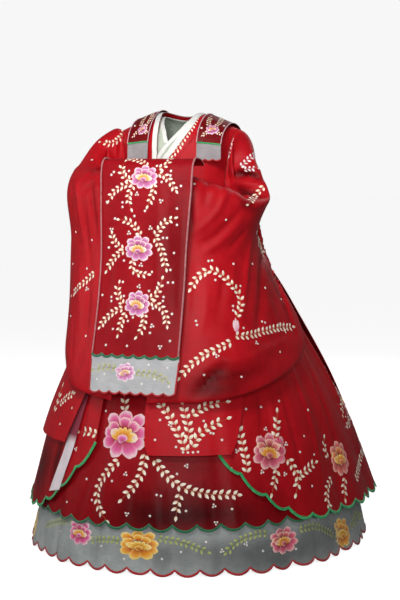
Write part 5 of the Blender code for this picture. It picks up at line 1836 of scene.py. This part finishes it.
SKIRT_FOLDS_SEEN = {
    "skirt_cloth": (
        (((133, 486), (132, 508), (130, 530)), 6, 4.5),
        (((142, 488), (143, 510), (142, 530)), 6, 4), (((151, 486), (152, 508), (152, 530)), 6, -4),
        (((160, 488), (161, 510), (162, 530)), 6, 4.5),
        (((169, 486), (170, 508), (170, 530)), 6, -3.5),
        (((178, 490), (180, 510), (181, 530)), 7, 4), (((96, 398), (94, 418), (91, 436)), 6, 3.5),
        (((112, 398), (110, 416), (109, 440)), 7, 4), (((206, 486), (210, 508), (213, 530)), 9, 4),
        (((232, 500), (238, 530)), 9, -3), (((112, 452), (106, 490), (100, 524)), 10, -4),
        (((94, 470), (84, 498), (76, 520)), 9, 4),
    ),
    "overskirt_cloth": (
        (((259, 396), (262, 424), (262, 452)), 9, 5.5),
        (((268, 392), (275, 424), (280, 452), (284, 480)), 10, -5.5),
        (((280, 386), (290, 420), (298, 452), (303, 488)), 9, 6),
        (((292, 368), (306, 404), (316, 440), (322, 480)), 10, -6),
        (((302, 352), (318, 388), (331, 424), (340, 462)), 9, 6),
        (((311, 345), (328, 376), (343, 410)), 7, -5.5),
        (((318, 346), (336, 378), (350, 408)), 7, 5),
        (((240, 404), (238, 432), (233, 462)), 10, 4.5),
        (((347, 404), (357, 438), (364, 474)), 9, -4.5), (((76, 402), (70, 424), (60, 452)), 7, 4),
        (((92, 400), (88, 424), (82, 450)), 8, -4), (((104, 402), (101, 424), (97, 446)), 7, 4.5),
    ),
    "underskirt_cloth": (
        (((96, 540), (94, 566)), 8, 4), (((118, 540), (117, 568)), 9, -3.5),
        (((168, 542), (168, 570)), 8, 4), (((210, 544), (212, 572)), 10, -3.5),
        (((232, 544), (235, 570)), 8, 4.5), (((262, 540), (266, 566)), 9, -3.5),
        (((306, 530), (311, 556)), 8, 4.5), (((60, 522), (56, 548)), 8, 4),
    ),
}
# Their like on the far sides, as shares across and down the sheet: the overskirt's folds from
# end to end, and the sleeves' creases, round the sleeve and along it.
OVERSKIRT_FOLDS_BEHIND = (
    ((0.212, 0.34), (0.216, 0.88), 10, 6), ((0.238, 0.26), (0.24, 0.7), 9, -5.5),
    ((0.262, 0.4), (0.258, 0.96), 10, 5.5), ((0.296, 0.28), (0.3, 0.8), 11, -6),
    ((0.322, 0.36), (0.318, 0.94), 9, 6.5), ((0.352, 0.24), (0.356, 0.66), 10, 5),
    ((0.376, 0.44), (0.38, 0.98), 12, -6), ((0.41, 0.3), (0.404, 0.84), 9, 6),
    ((0.436, 0.26), (0.44, 0.72), 10, -5), ((0.468, 0.38), (0.474, 0.96), 11, 6.5),
    ((0.502, 0.24), (0.5, 0.76), 10, -5.5), ((0.528, 0.42), (0.522, 0.92), 9, 5.5),
    ((0.562, 0.3), (0.566, 0.86), 11, 6), ((0.59, 0.26), (0.594, 0.68), 9, -5.5),
    ((0.622, 0.36), (0.618, 0.98), 10, 6.5), ((0.654, 0.28), (0.66, 0.78), 11, -5.5),
    ((0.688, 0.4), (0.684, 0.9), 9, 5.5), ((0.716, 0.26), (0.72, 0.74), 10, 6),
    ((0.748, 0.34), (0.744, 0.96), 10, -6), ((0.782, 0.3), (0.788, 0.82), 9, 6),
    ((0.812, 0.42), (0.81, 0.94), 10, -5), ((0.842, 0.28), (0.838, 0.76), 9, 5),
)
BACK_CREASES = {
    "left": (
        (((0.08, 0.1), (0.14, 0.22), (0.18, 0.36)), 16, 12),
        (((0.14, 0.06), (0.22, 0.16), (0.3, 0.26)), 18, -10),
        (((0.26, 0.1), (0.32, 0.24), (0.36, 0.4)), 20, 10),
        (((0.86, 0.2), (0.78, 0.4), (0.7, 0.6)), 18, 9),
    ),
    "right": (
        (((0.06, 0.12), (0.12, 0.2), (0.2, 0.26)), 14, 12),
        (((0.12, 0.08), (0.2, 0.14), (0.3, 0.18)), 18, -10),
        (((0.14, 0.3), (0.24, 0.36), (0.36, 0.38)), 18, 10),
        (((0.1, 0.44), (0.22, 0.52), (0.36, 0.56)), 16, 8),
        (((0.86, 0.24), (0.76, 0.42), (0.68, 0.58)), 18, 9),
    ),
}
# Painted shade, in folds and hollows and where the light falls off: places, width in millimetres, share.
SHADES = {
    "robe_left_sleeve_cloth": (
        (((204, 388), (213, 379), (224, 369)), 26, 0.55),
        (((220, 374), (234, 377), (250, 375), (266, 366)), 22, 0.5),
        (((184, 392), (206, 391), (228, 389), (248, 383)), 30, 0.66),
        (((184, 378), (200, 380), (214, 376), (226, 368)), 26, 0.46),
        (((246, 360), (262, 352), (280, 342)), 40, 0.22),
        (((231, 172.5), (242, 173), (252, 174.5), (266, 179)), 17, 0.94),
        (((236, 186), (243, 192), (252, 196), (262, 196)), 18, 0.86),
        (((240, 199), (246, 206), (254, 203)), 14, 0.7),
        (((262, 256), (270, 290), (276, 328), (276, 346)), 40, 0.22),
        (((259, 250), (272, 280), (284, 305), (293, 330)), 12, 0.48),
        (((262, 262), (268, 290), (280, 320)), 30, 0.16),
        (((191, 190), (190, 212), (191, 240)), 12, 0.3),
        (((188, 300), (186, 340), (184, 372)), 10, 0.25),
    ),
    "robe_right_sleeve_cloth": (
        (((93, 172), (94, 200), (97, 232)), 14, 0.24),
        (((94, 250), (92, 300), (88, 350)), 10, 0.14), (((70, 190), (70, 240), (70, 300)), 6, 0.2),
    ),
    "front_cloth_panel": (
        (((182, 186), (180, 250), (176, 330)), 45, 0.3),
        (((112, 338), (140, 340), (172, 338)), 50, 0.22),
        (((170, 200), (168, 260), (164, 320)), 60, 0.12),
        (((150, 200), (152, 230), (150, 262)), 30, 0.08),
    ),
    "skirt_cloth": (
        (((112, 518), (150, 519), (176, 516), (216, 514), (262, 516)), 52, 0.8),
        (((120, 500), (140, 508), (160, 512)), 40, 0.4),
        (((150, 462), (190, 466), (222, 470)), 22, 0.36),
        (((146, 490), (180, 492), (215, 492)), 45, 0.3),
    ),
    "overskirt_cloth": (
        (((56, 436), (48, 458), (42, 480), (38, 497)), 50, 0.5),
        (((49, 434), (43, 458), (37, 480), (35, 496)), 55, 0.82),
        (((64, 434), (58, 456), (52, 482)), 22, 0.84),
        (((344, 408), (354, 432), (362, 456)), 34, 0.3),
        (((232, 470), (250, 490), (276, 502)), 20, 0.28),
    ),
    "underskirt_cloth": (
        (((196, 560), (250, 562), (306, 552), (346, 534)), 60, 0.62),
        (((150, 560), (176, 562)), 40, 0.4),
        (((100, 546), (170, 552), (240, 550), (300, 540), (350, 520)), 30, 0.36),
    ),
}

# ---- embroidery --------------------------------------------------------------------------

# Stems, flowers and dots that the frame shows, each listed at its place in the frame.
# flowers: place, half width in mm, height over width, look, turn in radians; buds: place,
# length in mm, turn; sprays: leaf length in mm, look, then each stem's places; dots: place and
# how many where there is more than one.
SHOWN = {
    "front_cloth_panel": {
        "flowers": (
            ((144.5, 177.4), 43, 0.84, "lilac", 0.0), ((138.6, 248.8), 45, 0.86, "lilac", 0.1),
            ((137.4, 304.2), 40, 0.96, "lilac", -0.1),
        ),
        "sprays": (
            (14.5, "cream", (
                ((130, 180), (123, 176), (121.5, 169), (125, 162)),
                ((133, 183), (121, 186), (113, 192.5), (109, 200)),
                ((133, 185), (129, 194), (128, 202), (130.7, 208)),
                ((153, 184), (154.4, 190), (151, 198), (148, 205)),
                ((158.6, 174), (164.5, 175), (171, 183), (175.5, 190)),
                ((159, 169), (165, 166), (172, 157.3)),
            )),
            (14, "cream", (((147.5, 166), (140, 160.5), (130, 159)),)),
            (14.5, "cream", (
                ((140.6, 235), (135, 226), (129, 221), (120, 219.7)),
                ((123, 249), (117, 245), (113, 240), (112.3, 234.6)),
                ((124, 250), (116, 256), (110, 264), (107, 270)),
                ((133, 260.5), (131.5, 268), (137, 274), (147, 274.5)),
                ((155, 238), (161, 249), (164, 258), (166, 268)),
                ((155, 236), (161, 227), (166, 221), (174, 218.5)),
                ((123, 304), (118, 297), (117.6, 290), (119, 284)),
                ((123, 308), (113, 312), (106, 318), (100.4, 326)),
                ((126, 313), (121, 322), (118, 334)),
                ((144, 314), (144.5, 321), (142, 329), (137, 336)),
                ((151, 302), (160, 306), (166, 315), (167, 325)),
                ((150, 299), (157, 294), (160, 287), (162, 280)),
            )),
        ),
        "dots": (
            (107, 202), (145, 211), (181, 186), (114, 172), (111.5, 174.8), (122.6, 202.4),
            (122.6, 207), (137, 194, 3), (161, 201, 3), (161.7, 182), (171, 171), (170.5, 175.5),
            (129, 171), (157, 166), (177, 208.6), (115, 218.5), (134.5, 216), (111.6, 229.6, 3),
            (109, 247.6), (152, 272), (170.5, 270), (174, 253), (177, 225), (150.5, 228, 3),
            (163, 238), (167, 238), (129, 233, 3), (141, 265, 3), (124, 260.6), (123, 282),
            (111.5, 297), (111.5, 301), (124, 296), (113, 329), (128, 321), (133, 317.5),
            (152, 326, 3), (150, 333), (172, 314), (153, 308.5), (168, 282.6), (173, 282.6),
            (163.6, 297), (163, 301), (149, 291), (139, 286.5, 3), (102.5, 295), (106, 345),
            (170, 341), (160, 347, 3), (127, 346),
        ),
    },
    "front_cloth_band": {
        "flowers": (((124.9, 372.6), 32, 0.86, "pale", 0.5),),
        "sprays": (
            (15.5, "sage", (
                ((116, 368), (108, 367), (100.4, 366.8), (94.3, 369.2)),
                ((135.6, 372.6), (146, 372.8), (157, 375), (166.6, 381)),
            )),
        ),
        "dots": (
            (167.5, 368), (148.6, 365), (154.6, 379.5), (141.7, 384), (168.8, 387), (104.5, 374),
            (97, 379),
        ),
    },
    "robe_left_sleeve_cloth": {
        "buds": (((236, 325), 46, 1.52),),
        "sprays": (
            (17, "cream", (
                (
                    (237, 317), (241.4, 304), (239, 293), (228, 279.5), (213, 268.6), (199, 274),
                    (191, 288),
                ),
                ((235, 336), (245, 336), (262, 332), (278, 327), (292, 327)),
                ((231, 341), (221, 348), (205, 354), (190, 365), (180.2, 377)),
            )),
            (13, "silver", (((241, 167), (247, 160), (256, 154)),)),
            (12, "silver", (((244, 170), (250, 168), (257, 168)),)),
            (15, "cream", (((263.8, 186), (255, 197), (248.6, 204)),)),
            (13, "silver", (((231.3, 136.4), (228, 146), (226, 154)),)),
        ),
        "dots": (
            (194.4, 184), (226, 219.8), (233.4, 264), (252.5, 264), (265, 288), (208.5, 261),
            (212, 260.5), (215.4, 280), (240.4, 286), (233, 306), (233, 310.5), (243.5, 328),
            (262, 321.6), (265, 322.6), (256.7, 343, 3), (285, 331, 3), (217, 356, 3), (204, 375),
            (241.4, 377), (196, 321), (197, 325), (280, 352),
        ),
    },
    "robe_right_sleeve_cloth": {
        "sprays": (
            (14, "cream", (((125, 132), (118.5, 139.6), (111, 144), (101, 142)),)),
            (15, "cream", (((94.7, 273), (86, 280.5), (78.4, 287), (72, 295)),)),
        ),
        "dots": (
            (87, 289, 3), (87, 268.6), (73, 264), (70.8, 316), (86, 336), (76, 232), (92, 160),
            (92, 240),
        ),
    },
    "robe_left_front_cloth": {
        "sprays": (
            (19, "cream", (
                ((186.5, 451), (180.7, 437), (171, 417), (160, 404)),
                ((188.7, 440), (188.5, 424), (183, 405)),
                ((192, 447), (199, 434), (211, 425.5), (226.6, 419)),
            )),
            (18, "cream", (((192, 415), (202, 407.6), (213, 404), (225.5, 402)),)),
        ),
        "dots": (
            (170.4, 425, 3), (203.7, 421), (210.6, 433), (213.4, 433.6), (183, 452.4), (188, 452.6),
            (193, 452.4), (198, 452), (160, 420), (176, 447), (222, 440), (155, 440),
        ),
    },
    "robe_right_front_cloth": {
        "sprays": (
            (21, "cream", (((54.4, 412), (58, 401), (62, 388)),)),
            (17, "cream", (((60, 404), (66, 398), (73, 394)),)),
        ),
        "dots": ((72, 408), (60, 424)),
    },
    "skirt_cloth": {
        "flowers": (((124.2, 434.6), 76, 0.93, "pink", 0.0),),
        "sprays": (
            (19, "cream", (
                ((125, 411), (124.5, 396)),
                ((118.7, 460), (105, 474), (96, 490), (99, 510), (106, 520)),
                ((145, 454), (143, 470), (134, 487), (122, 499)),
                ((154, 460), (171.5, 481), (185, 489.5), (211, 495), (237, 495)),
            )),
            (18, "cream", (((179.6, 494), (177, 506), (176, 516)),)),
        ),
        "dots": (
            (125.6, 474, 3), (126.8, 514, 3), (214, 506, 3), (216, 523, 3), (186.5, 466, 3),
            (156.6, 495), (161, 496), (177, 474), (67, 502), (186, 511), (112, 481), (86.6, 479),
            (92, 500), (150, 516), (232, 509), (106, 411),
        ),
    },
    "overskirt_cloth": {
        "flowers": (((269.6, 452.3), 63, 0.86, "rose", -0.2), ((340, 459), 53, 1.02, "coral", 0.1)),
        "sprays": (
            (19, "cream", (
                ((275, 437), (277, 425), (277, 413)),
                ((247, 473), (246, 456), (241, 440), (238, 425)),
                ((277, 469.5), (275, 480), (272, 493)),
                ((287.5, 459), (295, 469.5), (299, 479), (296, 493)),
            )),
            (18, "cream", (
                ((300, 476), (307, 469), (315, 463)), ((328, 458), (324, 449), (324, 439)),
                ((331, 478), (327, 488), (326.5, 500), (330, 508)),
                ((345, 478), (343.7, 488), (345, 498)), ((356, 480), (359, 466), (363, 444)),
            )),
            (19, "cream", (((97, 434), (90, 432), (80, 432)),)),
        ),
        "dots": (
            (279, 401), (261, 407), (265.7, 429, 3), (225.5, 476, 3), (237, 451, 3), (286, 444, 3),
            (285, 474, 3), (314, 454.6), (262, 472, 3), (76, 449, 3), (304, 436), (300, 452),
            (312, 486), (246, 409), (92, 462), (308, 410),
        ),
    },
    "underskirt_cloth": {
        "flowers": (
            ((139.4, 545.3), 64, 0.67, "gold", 0.1), ((283.0, 540.8), 57, 0.7, "rose", 0.2),
            ((80, 533), 46, 0.8, "pink", 0.1),
        ),
        "sprays": (
            (15, "green", (
                ((120, 541), (105, 538.4), (88, 541)),
                ((158, 538), (176, 541), (190, 545), (207, 552)),
                ((267, 533), (251, 535), (237, 541), (227, 552)),
                ((299, 530), (311, 526), (323, 528), (334, 536)),
            )),
            (14, "green", (((46.4, 526), (57, 521), (69.4, 522)), ((350.6, 528), (354, 518)))),
        ),
        "dots": (
            (222, 551, 3), (246, 544, 3), (101.5, 546), (124, 559), (162, 559), (263, 551),
            (296, 549), (318, 519), (206, 542), (181, 552), (336, 541), (61, 531),
        ),
    },
    "left_ribbon_cloth": {
        "flowers": (((212.4, 129.6), 20, 1.0, "lilac", 0.4),),
        "sprays": (
            (9, "cream", (
                ((216.6, 126), (221, 121), (223.7, 116)), ((209, 126), (208.6, 121), (211, 117)),
            )),
            (8, "cream", (((207, 132), (203, 135)), ((217, 133), (222, 134)))),
        ),
        "dots": ((201.5, 128), (224, 126)),
    },
    "right_ribbon_cloth": {
        "flowers": (((142.4, 129.6), 18, 1.0, "lilac", 0.8),),
        "sprays": (
            (9, "cream", (
                ((146, 126), (150, 120), (153, 114)), ((141, 126), (142.5, 121), (146, 117)),
            )),
            (8, "cream", (((137, 132), (133.6, 136)), ((147, 133), (151, 136)))),
        ),
        "dots": ((135, 126), (153, 127)),
    },
    "robe_collar_cloth": {
        "sprays": ((12, "cream", (((198.8, 114.7), (190, 130), (181.4, 143), (173, 155)),)),),
    },
}
# The same flowers and vines on the sides away from the camera, as shares across and down a
# sheet. Each flower also has how many arms grow out of it.
HIDDEN_FLOWERS = {
    "robe_back_cloth": (
        ((0.5, 0.16), 43, "lilac", 0.2, 6), ((0.27, 0.38), 40, "lilac", 0.9, 5),
        ((0.73, 0.42), 42, "lilac", -0.5, 5), ((0.49, 0.6), 44, "pink", 0.3, 6),
        ((0.25, 0.78), 42, "pink", 0.5, 6), ((0.74, 0.8), 42, "lilac", -0.4, 6),
    ),
    "overskirt_cloth": (
        ((0.27, 0.72), 50, "rose", 0.1, 7), ((0.385, 0.66), 50, "coral", 0.7, 7),
        ((0.5, 0.74), 52, "pink", -0.2, 7), ((0.615, 0.67), 50, "rose", 0.4, 7),
        ((0.73, 0.73), 50, "coral", -0.6, 7), ((0.825, 0.66), 46, "rose", 0.2, 6),
    ),
    "underskirt_cloth": (
        ((0.225, 0.948), 46, "gold", 0.1, 0), ((0.325, 0.95), 44, "pink", -0.2, 0),
        ((0.435, 0.947), 48, "rose", 0.3, 0), ((0.54, 0.95), 46, "gold", 0.0, 0),
        ((0.65, 0.948), 44, "pink", 0.2, 0), ((0.755, 0.949), 46, "rose", -0.1, 0),
        ((0.845, 0.948), 44, "gold", 0.2, 0),
    ),
}
HIDDEN_SPRAYS = {
    "robe_left_sleeve_cloth": (
        (17, "cream", (
            ((0.2, 0.43), (0.24, 0.37), (0.25, 0.3), (0.21, 0.24)),
            ((0.06, 0.3), (0.12, 0.22), (0.2, 0.2), (0.26, 0.12)),
        )),
        (15, "cream", (((0.14, 0.3), (0.2, 0.31), (0.25, 0.34)),)),
        (16, "cream", (((0.66, 0.3), (0.7, 0.44), (0.78, 0.54)),)),
    ),
    "robe_right_sleeve_cloth": (
        (16, "cream", (
            ((0.07, 0.52), (0.12, 0.43), (0.2, 0.38), (0.27, 0.42)),
            ((0.3, 0.5), (0.33, 0.38), (0.29, 0.28), (0.23, 0.25)),
            ((0.05, 0.32), (0.11, 0.23), (0.19, 0.2), (0.26, 0.12)),
            ((0.4, 0.48), (0.42, 0.35), (0.38, 0.23), (0.32, 0.16)),
        )),
        (15, "cream", (((0.14, 0.31), (0.2, 0.3), (0.25, 0.33)),)),
        (16, "cream", (((0.66, 0.3), (0.7, 0.44), (0.78, 0.54)),)),
    ),
    "robe_back_cloth": (
        (15, "cream", (
            ((0.14, 0.1), (0.2, 0.16), (0.21, 0.24)), ((0.86, 0.11), (0.8, 0.17), (0.79, 0.26)),
        )),
        (16, "cream", (
            ((0.12, 0.52), (0.2, 0.56), (0.27, 0.54)), ((0.9, 0.56), (0.82, 0.6), (0.74, 0.58)),
            ((0.48, 0.94), (0.5, 0.86), (0.46, 0.79)),
        )),
    ),
    "underskirt_cloth": (
        (15, "green", (((0.252, 0.946), (0.27, 0.936), (0.294, 0.95)),)),
        (14, "green", (((0.3, 0.962), (0.285, 0.968), (0.268, 0.962)),)),
        (15, "green", (
            ((0.352, 0.944), (0.372, 0.952), (0.398, 0.94)),
            ((0.462, 0.95), (0.482, 0.938), (0.51, 0.948)),
            ((0.568, 0.944), (0.59, 0.954), (0.618, 0.942)),
            ((0.676, 0.95), (0.698, 0.938), (0.722, 0.95)),
            ((0.782, 0.944), (0.8, 0.954), (0.82, 0.944)),
        )),
    ),
    "overskirt_cloth": (
        (16, "cream", (((0.312, 0.93), (0.326, 0.84), (0.322, 0.76)),)),
        (15, "cream", (((0.322, 0.5), (0.33, 0.56), (0.326, 0.62)),)),
        (16, "cream", (
            ((0.44, 0.94), (0.452, 0.85), (0.446, 0.77)),
            ((0.556, 0.95), (0.562, 0.86), (0.556, 0.78)),
        )),
        (15, "cream", (((0.44, 0.48), (0.446, 0.55), (0.44, 0.61)),)),
        (16, "cream", (((0.672, 0.94), (0.678, 0.86), (0.672, 0.78)),)),
        (15, "cream", (((0.672, 0.5), (0.68, 0.56), (0.674, 0.62)),)),
        (16, "cream", (((0.784, 0.93), (0.79, 0.85), (0.782, 0.77)),)),
    ),
}
SLEEVE_DOTS = (
    (0.16, 0.46, 3), (0.24, 0.32), (0.1, 0.16), (0.36, 0.42), (0.28, 0.18, 3), (0.18, 0.26),
    (0.44, 0.28),
)
HIDDEN_DOTS = {
    "robe_left_sleeve_cloth": SLEEVE_DOTS, "robe_right_sleeve_cloth": SLEEVE_DOTS,
    "robe_back_cloth": (
        (0.3, 0.2, 3), (0.66, 0.22), (0.5, 0.38, 3), (0.18, 0.4), (0.84, 0.42), (0.36, 0.56),
        (0.62, 0.6, 3), (0.38, 0.86), (0.6, 0.88, 3), (0.14, 0.68), (0.88, 0.7), (0.5, 0.74),
    ),
}


def embroider(sheet, shared=()):
    """All of one sheet's stitching: what the frame shows, then its like on the far sides.

    shared has the flowers that lie across this sheet's edge, each with the sheet it starts on."""
    shown, work = SHOWN.get(sheet.name, {}), Stitching(sheet)
    for leaf, look, lines in shown.get("sprays", ()):
        for places in lines:
            work.spray(sheet.seen_line(places), leaf / 1000, look)
    flowers = [(sheet, flower) for flower in shown.get("flowers", ())]
    for under, (place, radius, tall, look, turn) in (*flowers, *shared):
        work.peony(Spot(under, under.seen(*place)), radius / 1000, look, turn, tall)
    for place, length, turn in shown.get("buds", ()):
        work.bud(sheet.seen(*place), length / 1000, turn)
    for x, y, *count in shown.get("dots", ()):
        work.dots(sheet.seen(x, y), *count)
    for share, radius, look, turn, arms in HIDDEN_FLOWERS.get(sheet.name, ()):
        work.bouquet(sheet.at(*share), radius / 1000, look, turn, arms)
    for leaf, look, lines in HIDDEN_SPRAYS.get(sheet.name, ()):
        for shares in lines:
            line = np.array([sheet.at(*share) for share in rounded(shares)])
            work.spray(resampled(line, LINE_STEP), leaf / 1000, look)
    for x, y, *count in HIDDEN_DOTS.get(sheet.name, ()):
        work.dots(sheet.at(x, y), *count)
    work.finish(sheet.name.replace("_cloth", "") + "_stitches", thread)


# ---- floor, light and finish -------------------------------------------------------------

FLOOR_REACH = 60.0
FLOOR_BELOW = 0.001
# strength of the surroundings as light and as the camera sees them
WORLD_LIGHT, WORLD_SEEN = 0.14, 0.93
# name, place, aim, width in metres, power in watts, spread in degrees
LAMPS = (
    ("key", (0.30, -2.3, 1.0), (0.0, 0.0, -0.15), 0.8, 9, 75),
    ("front", (1.9, -4.4, 0.2), (0.0, 0.0, -0.4), 1.6, 85, 180),
    ("left", (-3.0, -1.6, 0.2), (0.0, 0.0, -0.7), 1.6, 24, 180),
    ("back", (0.6, 3.4, 1.6), (0.0, 0.0, -0.6), 2.4, 44, 180),
)


def make_floor():
    """A plain white floor that lights nothing, so that the lamps alone shape the cloth."""
    mesh = bpy.data.meshes.new("floor")
    z = -SHOULDER_HEIGHT - FLOOR_BELOW
    corners = [
        (x * FLOOR_REACH, y * FLOOR_REACH, z) for x, y in ((-1, -1), (1, -1), (1, 1), (-1, 1))
    ]
    mesh.from_pydata(corners, [], [(0, 1, 2, 3)])
    n = Shading("floor_paper")
    share = n.ramp(n.noise(n.place, 60.0, 4.0), 0.3, 0.7)
    mesh.materials.append(n.join(
        Base_Color=n.mix(share, (0.86, 0.86, 0.86), (0.90, 0.90, 0.90)), Roughness=0.9,
        Specular_IOR_Level=0.0, Emission_Strength=0.80, Emission_Color=(1.0, 1.0, 1.0, 1.0),
    ))
    floor = bpy.data.objects.new("floor", mesh)
    bpy.context.scene.collection.objects.link(floor)
    floor.visible_diffuse = floor.visible_glossy = False
    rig.stage(floor)


def make_lamp(name, place, aim, size, power, spread):
    data = bpy.data.lights.new(name, "AREA")
    data.shape, data.size, data.energy = "DISK", size, power
    data.spread = math.radians(spread)
    lamp = bpy.data.objects.new(name, data)
    bpy.context.scene.collection.objects.link(lamp)
    lamp.location = place
    lamp.rotation_euler = (Vector(aim) - Vector(place)).to_track_quat("-Z", "Y").to_euler()


def make_light():
    world = bpy.data.worlds.new("studio")
    bpy.context.scene.world = world
    world.use_nodes = True
    tree = world.node_tree
    tree.nodes.clear()
    lighting, seen = (
        node(tree, "ShaderNodeBackground", {"Color": (1.0, 1.0, 1.0, 1.0), "Strength": strength})
        for strength in (WORLD_LIGHT, WORLD_SEEN)
    )
    camera_ray = node(tree, "ShaderNodeLightPath").outputs["Is Camera Ray"]
    inputs = {0: camera_ray, 1: lighting.outputs[0], 2: seen.outputs[0]}
    both = node(tree, "ShaderNodeMixShader", inputs).outputs[0]
    node(tree, "ShaderNodeOutputWorld", {"Surface": both})
    for lamp in LAMPS:
        make_lamp(*lamp)
    bpy.context.scene.view_settings.view_transform = "Standard"


def write_sizes():
    boxes = {"cad": [list(corner) for corner in cad_box], "visual": [list(c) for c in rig.bounds()]}
    with open("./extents.json", "w") as f:
        json.dump(boxes, f)


make_floor()
make_light()
underskirt, skirt, overskirt = build_skirts()
robe = build_robe()
build_jacket()
collar = build_collars()
panel, band = build_front_cloth()
ribbons = build_ribbons()
embroider(overskirt, [(skirt, flower) for flower in SHOWN["skirt_cloth"]["flowers"]])
for sewn in (underskirt, skirt, panel, band, collar, *robe, *ribbons):
    embroider(sewn)
declare_sheets()
write_sizes()
